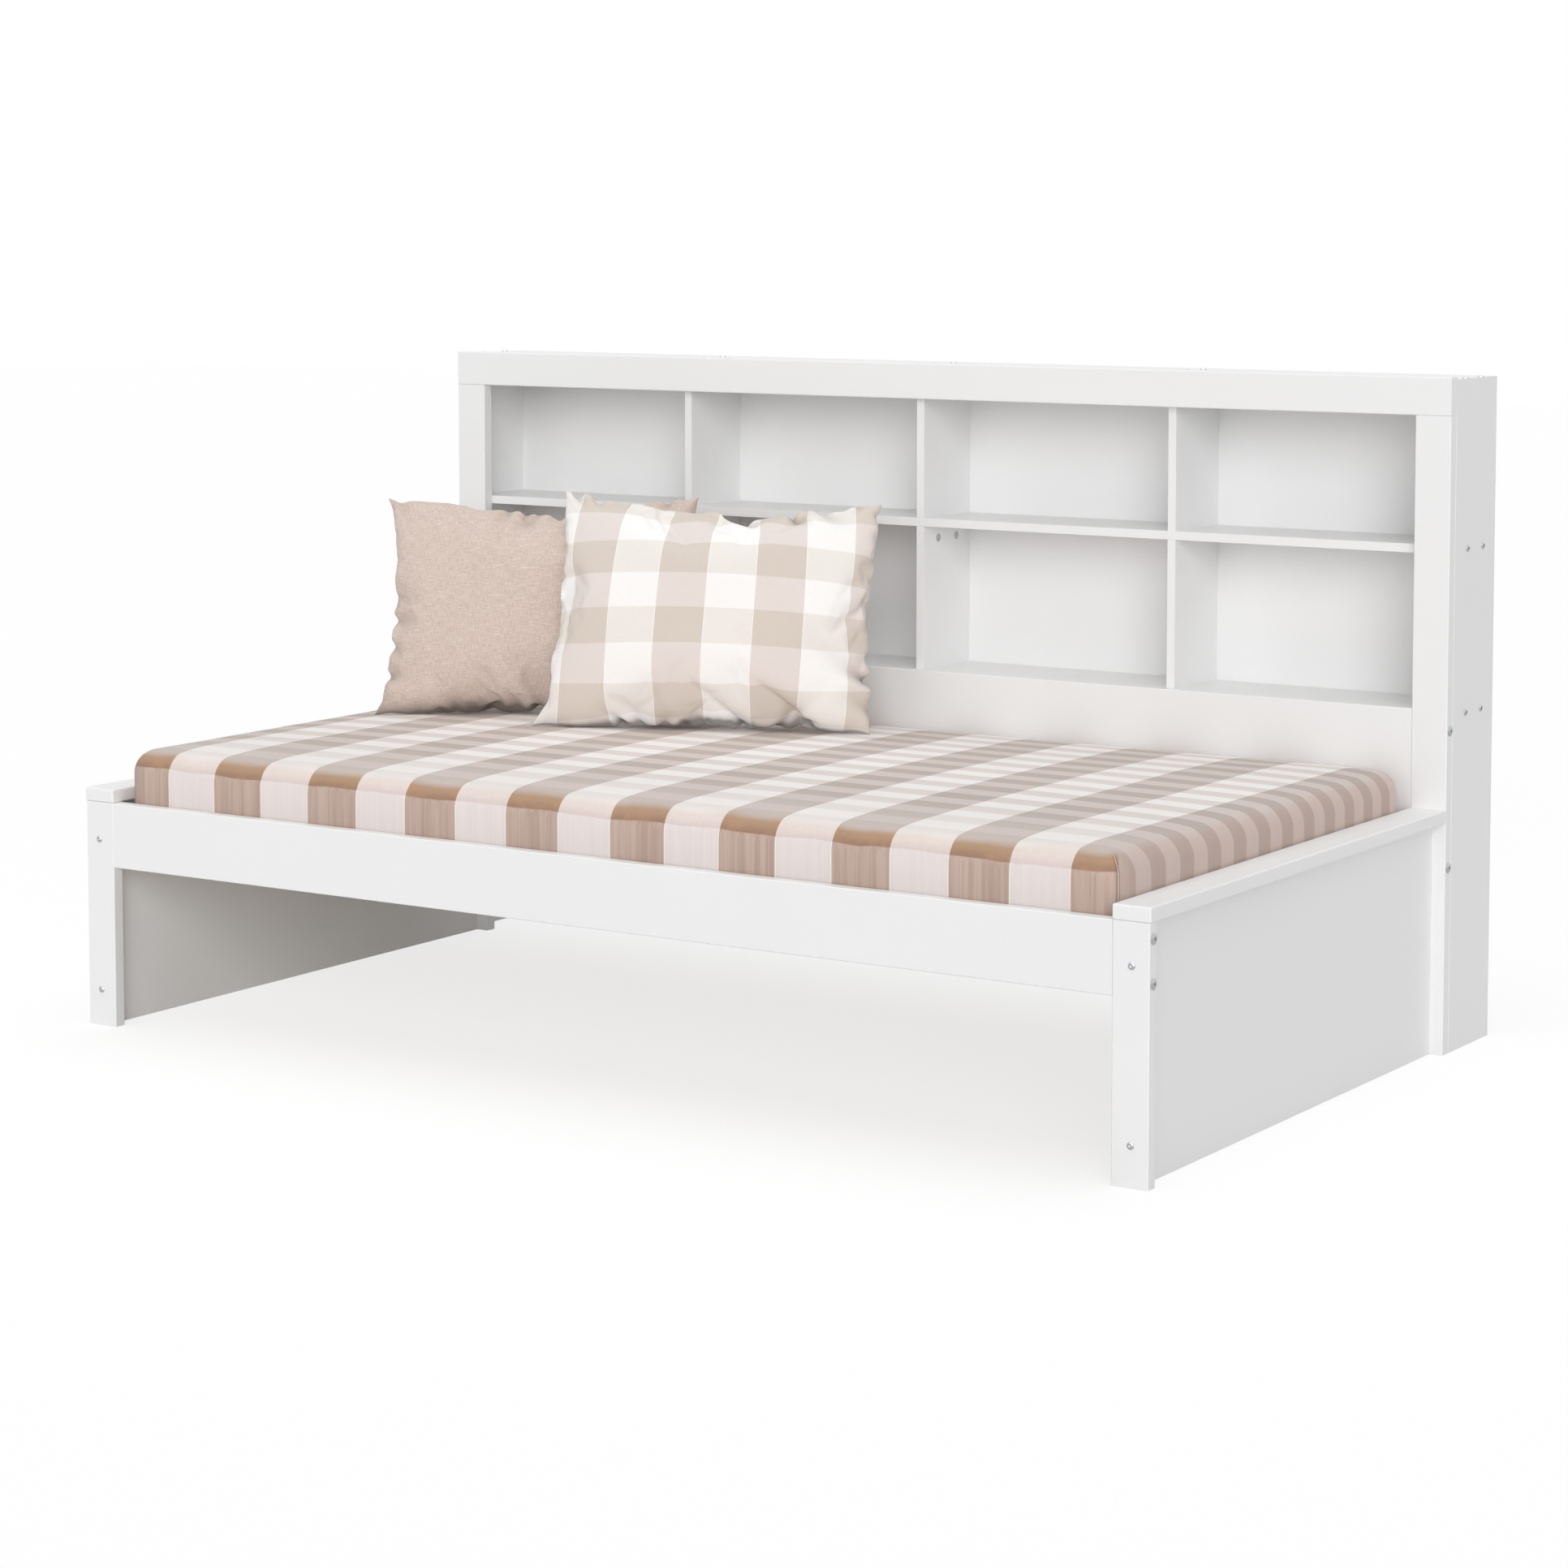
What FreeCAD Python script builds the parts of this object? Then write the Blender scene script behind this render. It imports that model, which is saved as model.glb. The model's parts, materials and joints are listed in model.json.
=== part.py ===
"""Bookcase headboard bed: a single bed with a wide bookcase along its back.

Millimetres. While the bed is laid out, X runs along its length from the middle, Y runs
back from the front faces of the front posts, and Z runs up from the floor. The written
solids stand on the centre of the bed's footprint, hardware heads included.
"""

import FreeCAD, Part
import math
import os

V = FreeCAD.Vector
X_AXIS = V(1, 0, 0)
Y_AXIS = V(0, 1, 0)
Z_AXIS = V(0, 0, 1)

# --- driving dimensions: the bed ---
MATTRESS_LENGTH = 1905.0  # a twin mattress
MATTRESS_WIDTH = 991.0
MATTRESS_HEIGHT = 167.7  # at its highest, with the sheet
MATTRESS_FRONT = 24.0
MATTRESS_CORNER = 45.0  # radius of its upright corners
MATTRESS_TOP_ROUND = 40.0
MATTRESS_BOTTOM_ROUND = 20.0
# rings up its crowned top: distance in from its sides, drop below its highest, corner radius
MATTRESS_CROWN = ((40.0, 8.0, 5.0), (140.0, 4.0, 20.0), (300.0, 1.5, 40.0), (440.0, 0.0, 50.0))
SHEET = 1.0  # thickness of the fitted sheet
SHEET_TUCK = 90.0  # how far the sheet reaches under the mattress
SHEET_GAP = 0.3  # air between the slats and the sheet

ENDS_OUTER = 2032.0  # over the outer faces of the two front posts
POST_WIDTH = 60.0
POST_DEPTH = 22.0
POST_HEIGHT = 383.5
END_PANEL = 15.0
PANEL_SET_OUT = 1.5  # the end panel stands this far out from the middle of the post
CAP_WIDTH = 62.5
CAP_THICKNESS = 23.0
CAP_FRONT_LIP = 1.0
RAIL_HEIGHT = 110.0

# --- driving dimensions: the bookcase ---
BOOKCASE_LENGTH = 2036.0
BOOKCASE_HEIGHT = 1113.5
FACE_FRONT = 1030.0  # where the bookcase's face frame starts
FACE_THICKNESS = 23.0
CARCASS_DEPTH = 165.0
BOARD = 15.0  # side panels, shelves, dividers and top board
BACK_PANEL = 4.0
APRON_TOP = 570.0
TOP_BOARD_DROP = 4.0  # the top board lies this far below the header's top
MIDDLE_SHELF_TOP = 838.5
BOTTOM_SHELF_TOP = 567.5
DIVIDER_X = {"left": -500.0, "centre": 0.0, "right": 500.0}

# --- driving dimensions: the slats ---
LEDGER_DEPTH = 20.0
LEDGER_HEIGHT = 26.0
LEDGER_LIFT = 0.5  # the ledgers stay this far above the rail's lower edge
SLAT_COUNT = 13
SLAT_PITCH = 150.0
SLAT_WIDTH = 70.0
SLAT_THICKNESS = 12.0
SLAT_END_GAP = 0.5
STRAP_WIDTH = 25.0
STRAP_THICKNESS = 1.5
STRAP_INSET = 120.0

# --- driving dimensions: eased edges ---
EASE_FRAME = 2.0
EASE_CAP = 3.0
EASE_PANEL = 0.8

# --- driving dimensions: hardware ---
BOLT_HEAD = 17.5
BOLT_HEAD_RISE = 3.0
BOLT_SHANK = 6.0
BOLT_LENGTH = 100.0
SCREW_HEAD = 11.5
SCREW_HEAD_RISE = 2.5
SCREW_SHANK = 5.0
SCREW_LENGTH = 50.0
HEX_KEY = 4.0
HEX_DEPTH = 2.2
NUT_DIAMETER = 10.0
NUT_LENGTH = 14.0
CAM_DIAMETER = 15.0
CAM_DEPTH = 12.0
CAM_SLOT_LENGTH = 10.0
CAM_SLOT_WIDTH = 2.0
CAM_SLOT_DEPTH = 2.0
CAM_BOLT_DIAMETER = 6.0
CAM_BOLT_COVER = 4.0  # wood left above the cam bolt in the middle shelf
FLUSH_HEAD = 9.0
FLUSH_HEAD_DEPTH = 3.0
LEDGER_SCREW_LENGTH = 36.0
SLAT_SCREW_LENGTH = 30.0
NAIL_HEAD = 4.5
NAIL_HEAD_DEPTH = 0.8
NAIL_SHANK = 1.6
NAIL_LENGTH = 18.0
DOWEL = 8.0
THIN_DOWEL = 6.0
DOWEL_SPREAD = 15.0  # each of a pair of dowels stands this far from the middle
CAP_DOWEL_LENGTH = 34.0
HEADER_DOWEL_LENGTH = 50.0
JOINT_DOWEL_LENGTH = 30.0
DIVIDER_DOWEL_LENGTH = 45.0
SHELF_DOWEL_LENGTH = 25.0
SHELF_DOWEL_SINK = 10.0  # how deep the upper centre divider's dowels go into the shelf

# --- driving dimensions: where the hardware goes ---
POST_BOLT_Z = (295.4, 360.0)
STILE_BOLT_Z = (310.0, 536.0)
PANEL_SCREW_Z = (61.6, 320.0)
CARCASS_SCREW_Y = (1104.0, 1167.0)
SHELF_DOWEL_Y = (1079.0, 1142.0)
CAM_Z = 800.0
LEDGER_SCREW_X = (-825.0, -525.0, -225.0, 225.0, 525.0, 825.0)
CAP_DOWEL_Y = (200.0, 530.0, 860.0)
SIDE_DOWEL_Z = (150.0, 450.0, 950.0)
BOARD_DOWEL_X = (-750.0, -250.0, 250.0, 750.0)
SHELF_NAIL_X = (-900.0, -700.0, -300.0, -100.0, 100.0, 300.0, 700.0, 900.0)
DIVIDER_NAIL_Z = (640.0, 750.0, 900.0, 1010.0)
SEAM_NAIL_X = (-4.0, 4.0)  # either side of the seam between the back panels

# --- driving dimensions: the pillows ---
PILLOW_WIDTH = 600.0
PILLOW_THICKNESS = 150.0
PILLOW_TOP_NARROWING = 14.0  # each top corner stands this far in from the one below
PILLOW_GAP = 1.0  # air between a pillow and the sheet
PILLOW_LEAN = 10.0  # degrees back from upright
PILLOW_DRAW_IN = 14.0  # how far the seam pulls in between two corners
PILLOW_BELLY = 46.0  # how roundly the contours near the crown bow out
PILLOW_FULLNESS = 0.68  # below 1, the pillow swells fast away from its seam
PILLOW_CONTOURS = (1.0, 0.94, 0.81, 0.63, 0.40, 0.16)  # shares of the outline, seam first
LINEN_HEIGHT = 384.0
LINEN_CORNER = (-860.0, 580.0)  # where its lower left corner stands
LINEN_YAW = 31.0
LINEN_TOP_SHIFT = 0.0
CHECK_HEIGHT = 399.0
CHECK_CORNER = (-510.0, 595.0)
CHECK_YAW = 25.4
CHECK_TOP_SHIFT = 19.0  # its top leans along its width

# --- worked out from the above ---
POST_OUT = ENDS_OUTER / 2
POST_IN = POST_OUT - POST_WIDTH
POST_X = (POST_OUT + POST_IN) / 2
PANEL_X = POST_X + PANEL_SET_OUT
PANEL_IN = PANEL_X - END_PANEL / 2
PANEL_OUT = PANEL_X + END_PANEL / 2
RAIL_BOTTOM = POST_HEIGHT - RAIL_HEIGHT
CAP_TOP = POST_HEIGHT + CAP_THICKNESS
CARCASS_OUT = BOOKCASE_LENGTH / 2
CARCASS_IN = CARCASS_OUT - BOARD
STILE_IN = CARCASS_OUT - CAP_WIDTH
STILE_X = (CARCASS_OUT + STILE_IN) / 2
SIDE_X = CARCASS_OUT - BOARD / 2
CARCASS_FRONT = FACE_FRONT + FACE_THICKNESS
CARCASS_REAR = CARCASS_FRONT + CARCASS_DEPTH
BACK_FRONT = CARCASS_REAR - BACK_PANEL
FACE_MIDDLE = FACE_FRONT + FACE_THICKNESS / 2
HEADER_BOTTOM = BOOKCASE_HEIGHT - CAP_WIDTH
TOP_BOARD_TOP = BOOKCASE_HEIGHT - TOP_BOARD_DROP
SIDE_TOP = TOP_BOARD_TOP - BOARD
TOP_BOARD_Z = TOP_BOARD_TOP - BOARD / 2
MIDDLE_SHELF_Z = MIDDLE_SHELF_TOP - BOARD / 2
BOTTOM_SHELF_Z = BOTTOM_SHELF_TOP - BOARD / 2
LEDGER_BOTTOM = RAIL_BOTTOM + LEDGER_LIFT
SLAT_BOTTOM = LEDGER_BOTTOM + LEDGER_HEIGHT
SLAT_TOP = SLAT_BOTTOM + SLAT_THICKNESS
END_SLAT_X = SLAT_PITCH * (SLAT_COUNT - 1) / 2
SHEET_BOTTOM = SLAT_TOP + SHEET_GAP
SHEET_TOP = SHEET_BOTTOM + MATTRESS_HEIGHT
FOOTPRINT_FRONT = -SCREW_HEAD_RISE
FOOTPRINT_MIDDLE = (FOOTPRINT_FRONT + CARCASS_REAR) / 2
SIDES = {"left": -1, "right": 1}


# --- helpers ---
def block(x, y, z):
    """A square-edged board between the two limits given along each axis."""
    return Part.makeBox(x[1] - x[0], y[1] - y[0], z[1] - z[0], V(x[0], y[0], z[0]))


def board(x, y, z, ease):
    """A board whose four long edges are eased."""
    solid = block(x, y, z)
    sizes = [high - low for low, high in (x, y, z)]
    along = (X_AXIS, Y_AXIS, Z_AXIS)[sizes.index(max(sizes))]
    long_edges = [edge for edge in solid.Edges if abs(edge.tangentAt(0).dot(along)) > 0.9]
    return solid.makeFillet(ease, long_edges)


def mirrored(side, low, high):
    """Limits along X on the left (side -1) or right (side 1) of the middle."""
    return tuple(sorted((side * low, side * high)))


def aimed(solid, point, direction):
    """A solid made upright at the origin, moved to a point and turned to a direction."""
    solid.Placement = FreeCAD.Placement(V(*point), FreeCAD.Rotation(Z_AXIS, direction))
    return solid


def rod(diameter, length, point, direction):
    """A plain round rod from a point along a direction."""
    return Part.makeCylinder(diameter / 2, length, V(*point), direction)


def centred_rod(diameter, length, point, direction):
    """A plain round rod whose middle is at a point."""
    start = V(*point) - direction * (length / 2)
    return Part.makeCylinder(diameter / 2, length, start, direction)


def domed_head(diameter, rise):
    """A low head standing on the origin, rounded to a flat about its hexagonal socket."""
    rim = rise * 0.35
    flat = HEX_KEY * 0.75
    dome = rise - rim
    reach = diameter / 2 - flat
    radius = (reach ** 2 + dome ** 2) / (2 * dome)
    half_way = math.asin(reach / radius) / 2
    edge = V(diameter / 2, 0, rim)
    drop = radius * (1 - math.cos(half_way))
    shoulder = V(flat + radius * math.sin(half_way), 0, rise - drop)
    top = V(flat, 0, rise)
    outline = Part.Wire([
        Part.makeLine(V(0, 0, 0), V(diameter / 2, 0, 0)),
        Part.makeLine(V(diameter / 2, 0, 0), edge),
        Part.Arc(edge, shoulder, top).toShape(),
        Part.makeLine(top, V(0, 0, rise)),
        Part.makeLine(V(0, 0, rise), V(0, 0, 0)),
    ])
    head = Part.Face(outline).revolve(V(0, 0, 0), Z_AXIS, 360)
    corner = HEX_KEY / math.sqrt(3)
    turns = [math.radians(60 * step) for step in range(7)]
    hexagon = Part.makePolygon([V(corner * math.cos(a), corner * math.sin(a), 0) for a in turns])
    socket = Part.Face(hexagon).extrude(V(0, 0, HEX_DEPTH + 1))
    socket.translate(V(0, 0, rise - HEX_DEPTH))
    return head.cut(socket)


def headed_fastener(head, rise, shank, length, point, direction):
    """A bolt or screw whose head stands on a face, driven in along a direction."""
    solid = domed_head(head, rise).fuse(Part.makeCylinder(shank / 2, length, V(0, 0, -length)))
    return aimed(solid.removeSplitter(), point, -direction)


def bolt(point, direction):
    return headed_fastener(BOLT_HEAD, BOLT_HEAD_RISE, BOLT_SHANK, BOLT_LENGTH, point, direction)


def screw(point, direction):
    return headed_fastener(SCREW_HEAD, SCREW_HEAD_RISE, SCREW_SHANK, SCREW_LENGTH, point, direction)


def flush_screw(point, direction, length):
    """A countersunk wood screw whose head is level with the face it is driven into."""
    base = V(0, 0, -FLUSH_HEAD_DEPTH)
    cone = Part.makeCone(SCREW_SHANK / 2, FLUSH_HEAD / 2, FLUSH_HEAD_DEPTH, base)
    shank = Part.makeCylinder(SCREW_SHANK / 2, length - FLUSH_HEAD_DEPTH, V(0, 0, -length))
    return aimed(cone.fuse(shank).removeSplitter(), point, -direction)


def nail(point, direction):
    head = Part.makeCylinder(NAIL_HEAD / 2, NAIL_HEAD_DEPTH, V(0, 0, -NAIL_HEAD_DEPTH))
    shank = Part.makeCylinder(NAIL_SHANK / 2, NAIL_LENGTH, V(0, 0, -NAIL_LENGTH))
    return aimed(head.fuse(shank).removeSplitter(), point, -direction)


# --- the ends of the bed ---
def ends():
    """Posts, end panels and caps, left and right."""
    pieces = {}
    for name, side in SIDES.items():
        post_x = mirrored(side, POST_IN, POST_OUT)
        pieces["front_post_" + name] = board(post_x, (0, POST_DEPTH), (0, POST_HEIGHT), EASE_FRAME)
        panel_x = mirrored(side, PANEL_IN, PANEL_OUT)
        panel = board(panel_x, (POST_DEPTH, FACE_FRONT), (0, POST_HEIGHT), EASE_PANEL)
        pieces["end_panel_" + name] = panel
        cap = block(mirrored(side, STILE_IN, CARCASS_OUT), (-CAP_FRONT_LIP, FACE_FRONT),
                    (POST_HEIGHT, CAP_TOP))
        rear_edges = [edge for edge in cap.Edges if edge.BoundBox.YMin > FACE_FRONT - 1]
        rounded = [edge for edge in cap.Edges if not any(edge.isSame(rear) for rear in rear_edges)]
        pieces["end_cap_" + name] = cap.makeFillet(EASE_CAP, rounded)
    return pieces


def front_rail():
    return board((-POST_IN, POST_IN), (0, POST_DEPTH), (RAIL_BOTTOM, POST_HEIGHT), EASE_FRAME)


# --- the bookcase ---
def face_frame():
    """Stiles, header and apron board."""
    depth = (FACE_FRONT, CARCASS_FRONT)
    pieces = {}
    for name, side in SIDES.items():
        stile_x = mirrored(side, STILE_IN, CARCASS_OUT)
        pieces["stile_" + name] = board(stile_x, depth, (0, HEADER_BOTTOM), EASE_FRAME)
    header_x = (-CARCASS_OUT, CARCASS_OUT)
    pieces["header"] = board(header_x, depth, (HEADER_BOTTOM, BOOKCASE_HEIGHT), EASE_FRAME)
    pieces["apron"] = board((-STILE_IN, STILE_IN), depth, (RAIL_BOTTOM, APRON_TOP), EASE_FRAME)
    return pieces


def carcass():
    """Side panels, top board, shelves, dividers and back."""
    pieces = {}
    depth = (CARCASS_FRONT, CARCASS_REAR)
    inner_depth = (CARCASS_FRONT, BACK_FRONT)
    for name, side in SIDES.items():
        side_x = mirrored(side, CARCASS_IN, CARCASS_OUT)
        pieces["side_panel_" + name] = board(side_x, depth, (0, SIDE_TOP), EASE_PANEL)
        back_x = mirrored(side, 0, CARCASS_IN)
        back_z = (BOTTOM_SHELF_TOP - BOARD, SIDE_TOP)
        pieces["back_panel_" + name] = block(back_x, (BACK_FRONT, CARCASS_REAR), back_z)
    top_x = (-CARCASS_OUT, CARCASS_OUT)
    pieces["top_board"] = board(top_x, depth, (SIDE_TOP, TOP_BOARD_TOP), EASE_PANEL)
    for name, top in (("middle_shelf", MIDDLE_SHELF_TOP), ("bottom_shelf", BOTTOM_SHELF_TOP)):
        shelf_x = (-CARCASS_IN, CARCASS_IN)
        pieces[name] = board(shelf_x, inner_depth, (top - BOARD, top), EASE_PANEL)
    levels = {
        "upper": (MIDDLE_SHELF_TOP, SIDE_TOP),
        "lower": (BOTTOM_SHELF_TOP, MIDDLE_SHELF_TOP - BOARD),
    }
    for place, x in DIVIDER_X.items():
        for level, z in levels.items():
            divider_x = (x - BOARD / 2, x + BOARD / 2)
            pieces["divider_" + level + "_" + place] = board(divider_x, inner_depth, z, EASE_PANEL)
    return pieces


# --- what carries the mattress ---
def slat_base():
    """Ledgers, slats and the straps that space the slats."""
    pieces = {}
    ledger_z = (LEDGER_BOTTOM, SLAT_BOTTOM)
    ledger_x = (-POST_IN, POST_IN)
    front_y = (POST_DEPTH, POST_DEPTH + LEDGER_DEPTH)
    rear_y = (FACE_FRONT - LEDGER_DEPTH, FACE_FRONT)
    pieces["ledger_front"] = board(ledger_x, front_y, ledger_z, EASE_FRAME)
    pieces["ledger_rear"] = board(ledger_x, rear_y, ledger_z, EASE_FRAME)
    slat_y = (POST_DEPTH + SLAT_END_GAP, FACE_FRONT - SLAT_END_GAP)
    for number in range(SLAT_COUNT):
        x = number * SLAT_PITCH - END_SLAT_X
        slat_x = (x - SLAT_WIDTH / 2, x + SLAT_WIDTH / 2)
        name = "slat_{:02d}".format(number + 1)
        pieces[name] = board(slat_x, slat_y, (SLAT_BOTTOM, SLAT_TOP), EASE_FRAME)
    strap_x = (-END_SLAT_X - SLAT_WIDTH / 2, END_SLAT_X + SLAT_WIDTH / 2)
    strap_z = (SLAT_BOTTOM - STRAP_THICKNESS, SLAT_BOTTOM)
    for name, start in (("front", STRAP_INSET), ("rear", FACE_FRONT - STRAP_INSET)):
        pieces["slat_strap_" + name] = block(strap_x, (start, start + STRAP_WIDTH), strap_z)
    return pieces


# --- soft pieces ---
def rounded_block(x, y, z, corner):
    """A block with rounded upright corners."""
    solid = block(x, y, z)
    upright = [edge for edge in solid.Edges if abs(edge.tangentAt(0).z) > 0.9]
    return solid.makeFillet(corner, upright)


def rounded_pad(x, y, z, corner, top_round, bottom_round):
    """A flat pad with rounded upright corners and softer rounds along its top."""
    pad = rounded_block(x, y, z, corner)
    for level, radius in ((z[1], top_round), (z[0], bottom_round)):
        rim = [
            edge for edge in pad.Edges
            if abs(edge.BoundBox.ZMin - level) < 0.01 and abs(edge.BoundBox.ZMax - level) < 0.01
        ]
        pad = pad.makeFillet(radius, rim)
    return pad


def mattress_crown(x, y, top):
    """The low rise over a mattress: flat rings, each further in and higher."""
    rings = []
    for inset, drop, corner in MATTRESS_CROWN:
        ring_x = (x[0] + inset, x[1] - inset)
        ring_y = (y[0] + inset, y[1] - inset)
        level = top - drop
        slab = rounded_block(ring_x, ring_y, (level, level + 1), corner)
        underside = min(slab.Faces, key=lambda face: face.BoundBox.ZMax)
        rings.append(underside.OuterWire)
    return Part.makeLoft(rings, True, True)


def bedding():
    """The whole of the bedding's shape, the mattress, and the fitted sheet drawn over it."""
    x = (-MATTRESS_LENGTH / 2, MATTRESS_LENGTH / 2)
    y = (MATTRESS_FRONT, MATTRESS_FRONT + MATTRESS_WIDTH)
    z = (SHEET_BOTTOM, SHEET_TOP - MATTRESS_CROWN[0][1])
    cover = rounded_pad(x, y, z, MATTRESS_CORNER, MATTRESS_TOP_ROUND, MATTRESS_BOTTOM_ROUND)
    cover = cover.fuse(mattress_crown(x, y, SHEET_TOP)).removeSplitter()
    inner = [(low + SHEET, high - SHEET) for low, high in (x, y, z)]
    mattress = rounded_pad(*inner, MATTRESS_CORNER - SHEET, MATTRESS_TOP_ROUND - SHEET,
                           MATTRESS_BOTTOM_ROUND - SHEET)
    mattress = mattress.fuse(mattress_crown(x, y, SHEET_TOP - SHEET)).removeSplitter()
    opening = block((x[0] + SHEET_TUCK, x[1] - SHEET_TUCK), (y[0] + SHEET_TUCK, y[1] - SHEET_TUCK),
                    (z[0] - SHEET, z[0] + 2 * SHEET))
    return cover, mattress, cover.cut(mattress).cut(opening)


def bowed_side(start, end, bow):
    """One side of a pillow contour: an arc that bows away from the pillow's middle."""
    along = (end - start).normalize()
    outward = V(along.z, 0, -along.x)
    return Part.Arc(start, (start + end) * 0.5 + outward * bow, end).toShape()


def pillow_contour(share, facing, height, top_shift):
    """A closed contour around one face of the pillow, a share of its full outline."""
    depth = facing * PILLOW_THICKNESS / 2 * (1 - share ** 2) ** PILLOW_FULLNESS
    bow = share * (PILLOW_BELLY - (PILLOW_BELLY + PILLOW_DRAW_IN) * share ** 2)
    half = PILLOW_WIDTH / 2
    top_half = half - PILLOW_TOP_NARROWING
    centre = V(top_shift / 2, 0, height / 2)
    outline = (
        V(-half, 0, 0), V(half, 0, 0),
        V(top_half + top_shift, 0, height), V(-top_half + top_shift, 0, height),
    )
    corners = [centre + (corner - centre) * share + V(0, depth, 0) for corner in outline]
    sides = []
    for number, corner in enumerate(corners):
        following = corners[(number + 1) % 4]
        sides.append(bowed_side(corner, following, bow))
    return Part.Wire(sides)


def pillow(corner, yaw, height, top_shift, support):
    """A stuffed pillow standing on its long side: a crown each way from a thin seam."""
    halves = []
    for facing in (-1, 1):
        contours = [
            pillow_contour(share, facing, height, top_shift) for share in PILLOW_CONTOURS
        ]
        halves.append(Part.makeLoft(contours, True, False))
    solid = halves[0].fuse(halves[1]).removeSplitter()
    solid.translate(V(PILLOW_WIDTH / 2, 0, 0))
    solid.rotate(V(0, 0, 0), X_AXIS, -PILLOW_LEAN)
    solid.rotate(V(0, 0, 0), Z_AXIS, yaw)
    solid.translate(V(corner[0], corner[1], SHEET_TOP + PILLOW_GAP - solid.BoundBox.ZMin))
    air = solid.distToShape(support)[0]
    solid.translate(V(0, 0, PILLOW_GAP - air))
    return solid


# --- hardware ---
def frame_bolts():
    """Bolts through posts and stiles, and the barrel nuts that they screw into."""
    bolts = []
    nuts = []
    bores = []
    rows = (
        (POST_OUT, POST_DEPTH / 2, POST_DEPTH, POST_BOLT_Z),
        (CARCASS_OUT, FACE_MIDDLE, CARCASS_FRONT, STILE_BOLT_Z),
    )
    for side in SIDES.values():
        for outer_x, y, rear_y, heights in rows:
            for z in heights:
                new_bolt = bolt((side * outer_x, y, z), X_AXIS * -side)
                nut_x = side * (outer_x - BOLT_LENGTH + NUT_DIAMETER)
                front_y = y - NUT_LENGTH / 2
                nut = rod(NUT_DIAMETER, NUT_LENGTH, (nut_x, front_y, z), Y_AXIS)
                bolts.append(new_bolt)
                nuts.append(nut.cut(new_bolt))
                bores.append(rod(NUT_DIAMETER, rear_y - front_y, (nut_x, front_y, z), Y_AXIS))
    return {"frame_bolts": bolts, "barrel_nuts": nuts}, bores


def screws():
    """Screws of the ends, the carcass and the slat base."""
    groups = {name: [] for name in (
        "end_panel_screws", "shelf_screws", "top_board_screws", "ledger_screws", "slat_screws",
    )}
    for side in SIDES.values():
        for z in PANEL_SCREW_Z:
            groups["end_panel_screws"].append(screw((side * PANEL_X, 0, z), Y_AXIS))
            rear = (side * PANEL_X, CARCASS_FRONT, z)
            groups["end_panel_screws"].append(screw(rear, -Y_AXIS))
        for z in (BOTTOM_SHELF_Z, MIDDLE_SHELF_Z):
            for y in CARCASS_SCREW_Y:
                point = (side * CARCASS_OUT, y, z)
                groups["shelf_screws"].append(screw(point, X_AXIS * -side))
    for x in (-SIDE_X, *DIVIDER_X.values(), SIDE_X):
        for y in CARCASS_SCREW_Y:
            groups["top_board_screws"].append(screw((x, y, TOP_BOARD_TOP), -Z_AXIS))
    for x in DIVIDER_X.values():
        for y in CARCASS_SCREW_Y:
            point = (x, y, BOTTOM_SHELF_TOP - BOARD)
            groups["shelf_screws"].append(screw(point, Z_AXIS))
    ledger_z = LEDGER_BOTTOM + LEDGER_HEIGHT / 2
    for x in LEDGER_SCREW_X:
        front = (x, POST_DEPTH + LEDGER_DEPTH, ledger_z)
        rear = (x, FACE_FRONT - LEDGER_DEPTH, ledger_z)
        groups["ledger_screws"].append(flush_screw(front, -Y_AXIS, LEDGER_SCREW_LENGTH))
        groups["ledger_screws"].append(flush_screw(rear, Y_AXIS, LEDGER_SCREW_LENGTH))
    for x in (-END_SLAT_X, 0, END_SLAT_X):
        for y in (POST_DEPTH + LEDGER_DEPTH / 2, FACE_FRONT - LEDGER_DEPTH / 2):
            slat_screw = flush_screw((x, y, SLAT_TOP), -Z_AXIS, SLAT_SCREW_LENGTH)
            groups["slat_screws"].append(slat_screw)
    return groups


def cam_fittings():
    """Cam locks in the lower centre divider, and the bolts that they draw down."""
    locks = []
    bolts = []
    bores = []
    face_x = DIVIDER_X["centre"] + BOARD / 2
    bolt_length = MIDDLE_SHELF_TOP - CAM_BOLT_COVER - CAM_Z
    slot_x = (face_x - CAM_SLOT_DEPTH, face_x + CAM_SLOT_DEPTH)
    slot_z = (CAM_Z - CAM_SLOT_WIDTH / 2, CAM_Z + CAM_SLOT_WIDTH / 2)
    for y in CARCASS_SCREW_Y:
        cam_bolt = rod(CAM_BOLT_DIAMETER, bolt_length, (DIVIDER_X["centre"], y, CAM_Z), Z_AXIS)
        disc = rod(CAM_DIAMETER, CAM_DEPTH, (face_x, y, CAM_Z), -X_AXIS)
        slot = block(slot_x, (y - CAM_SLOT_LENGTH / 2, y + CAM_SLOT_LENGTH / 2), slot_z)
        locks.append(disc.cut(cam_bolt).cut(slot))
        bolts.append(cam_bolt)
        bores.append(disc)
    return {"cam_locks": locks, "cam_bolts": bolts}, bores


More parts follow.
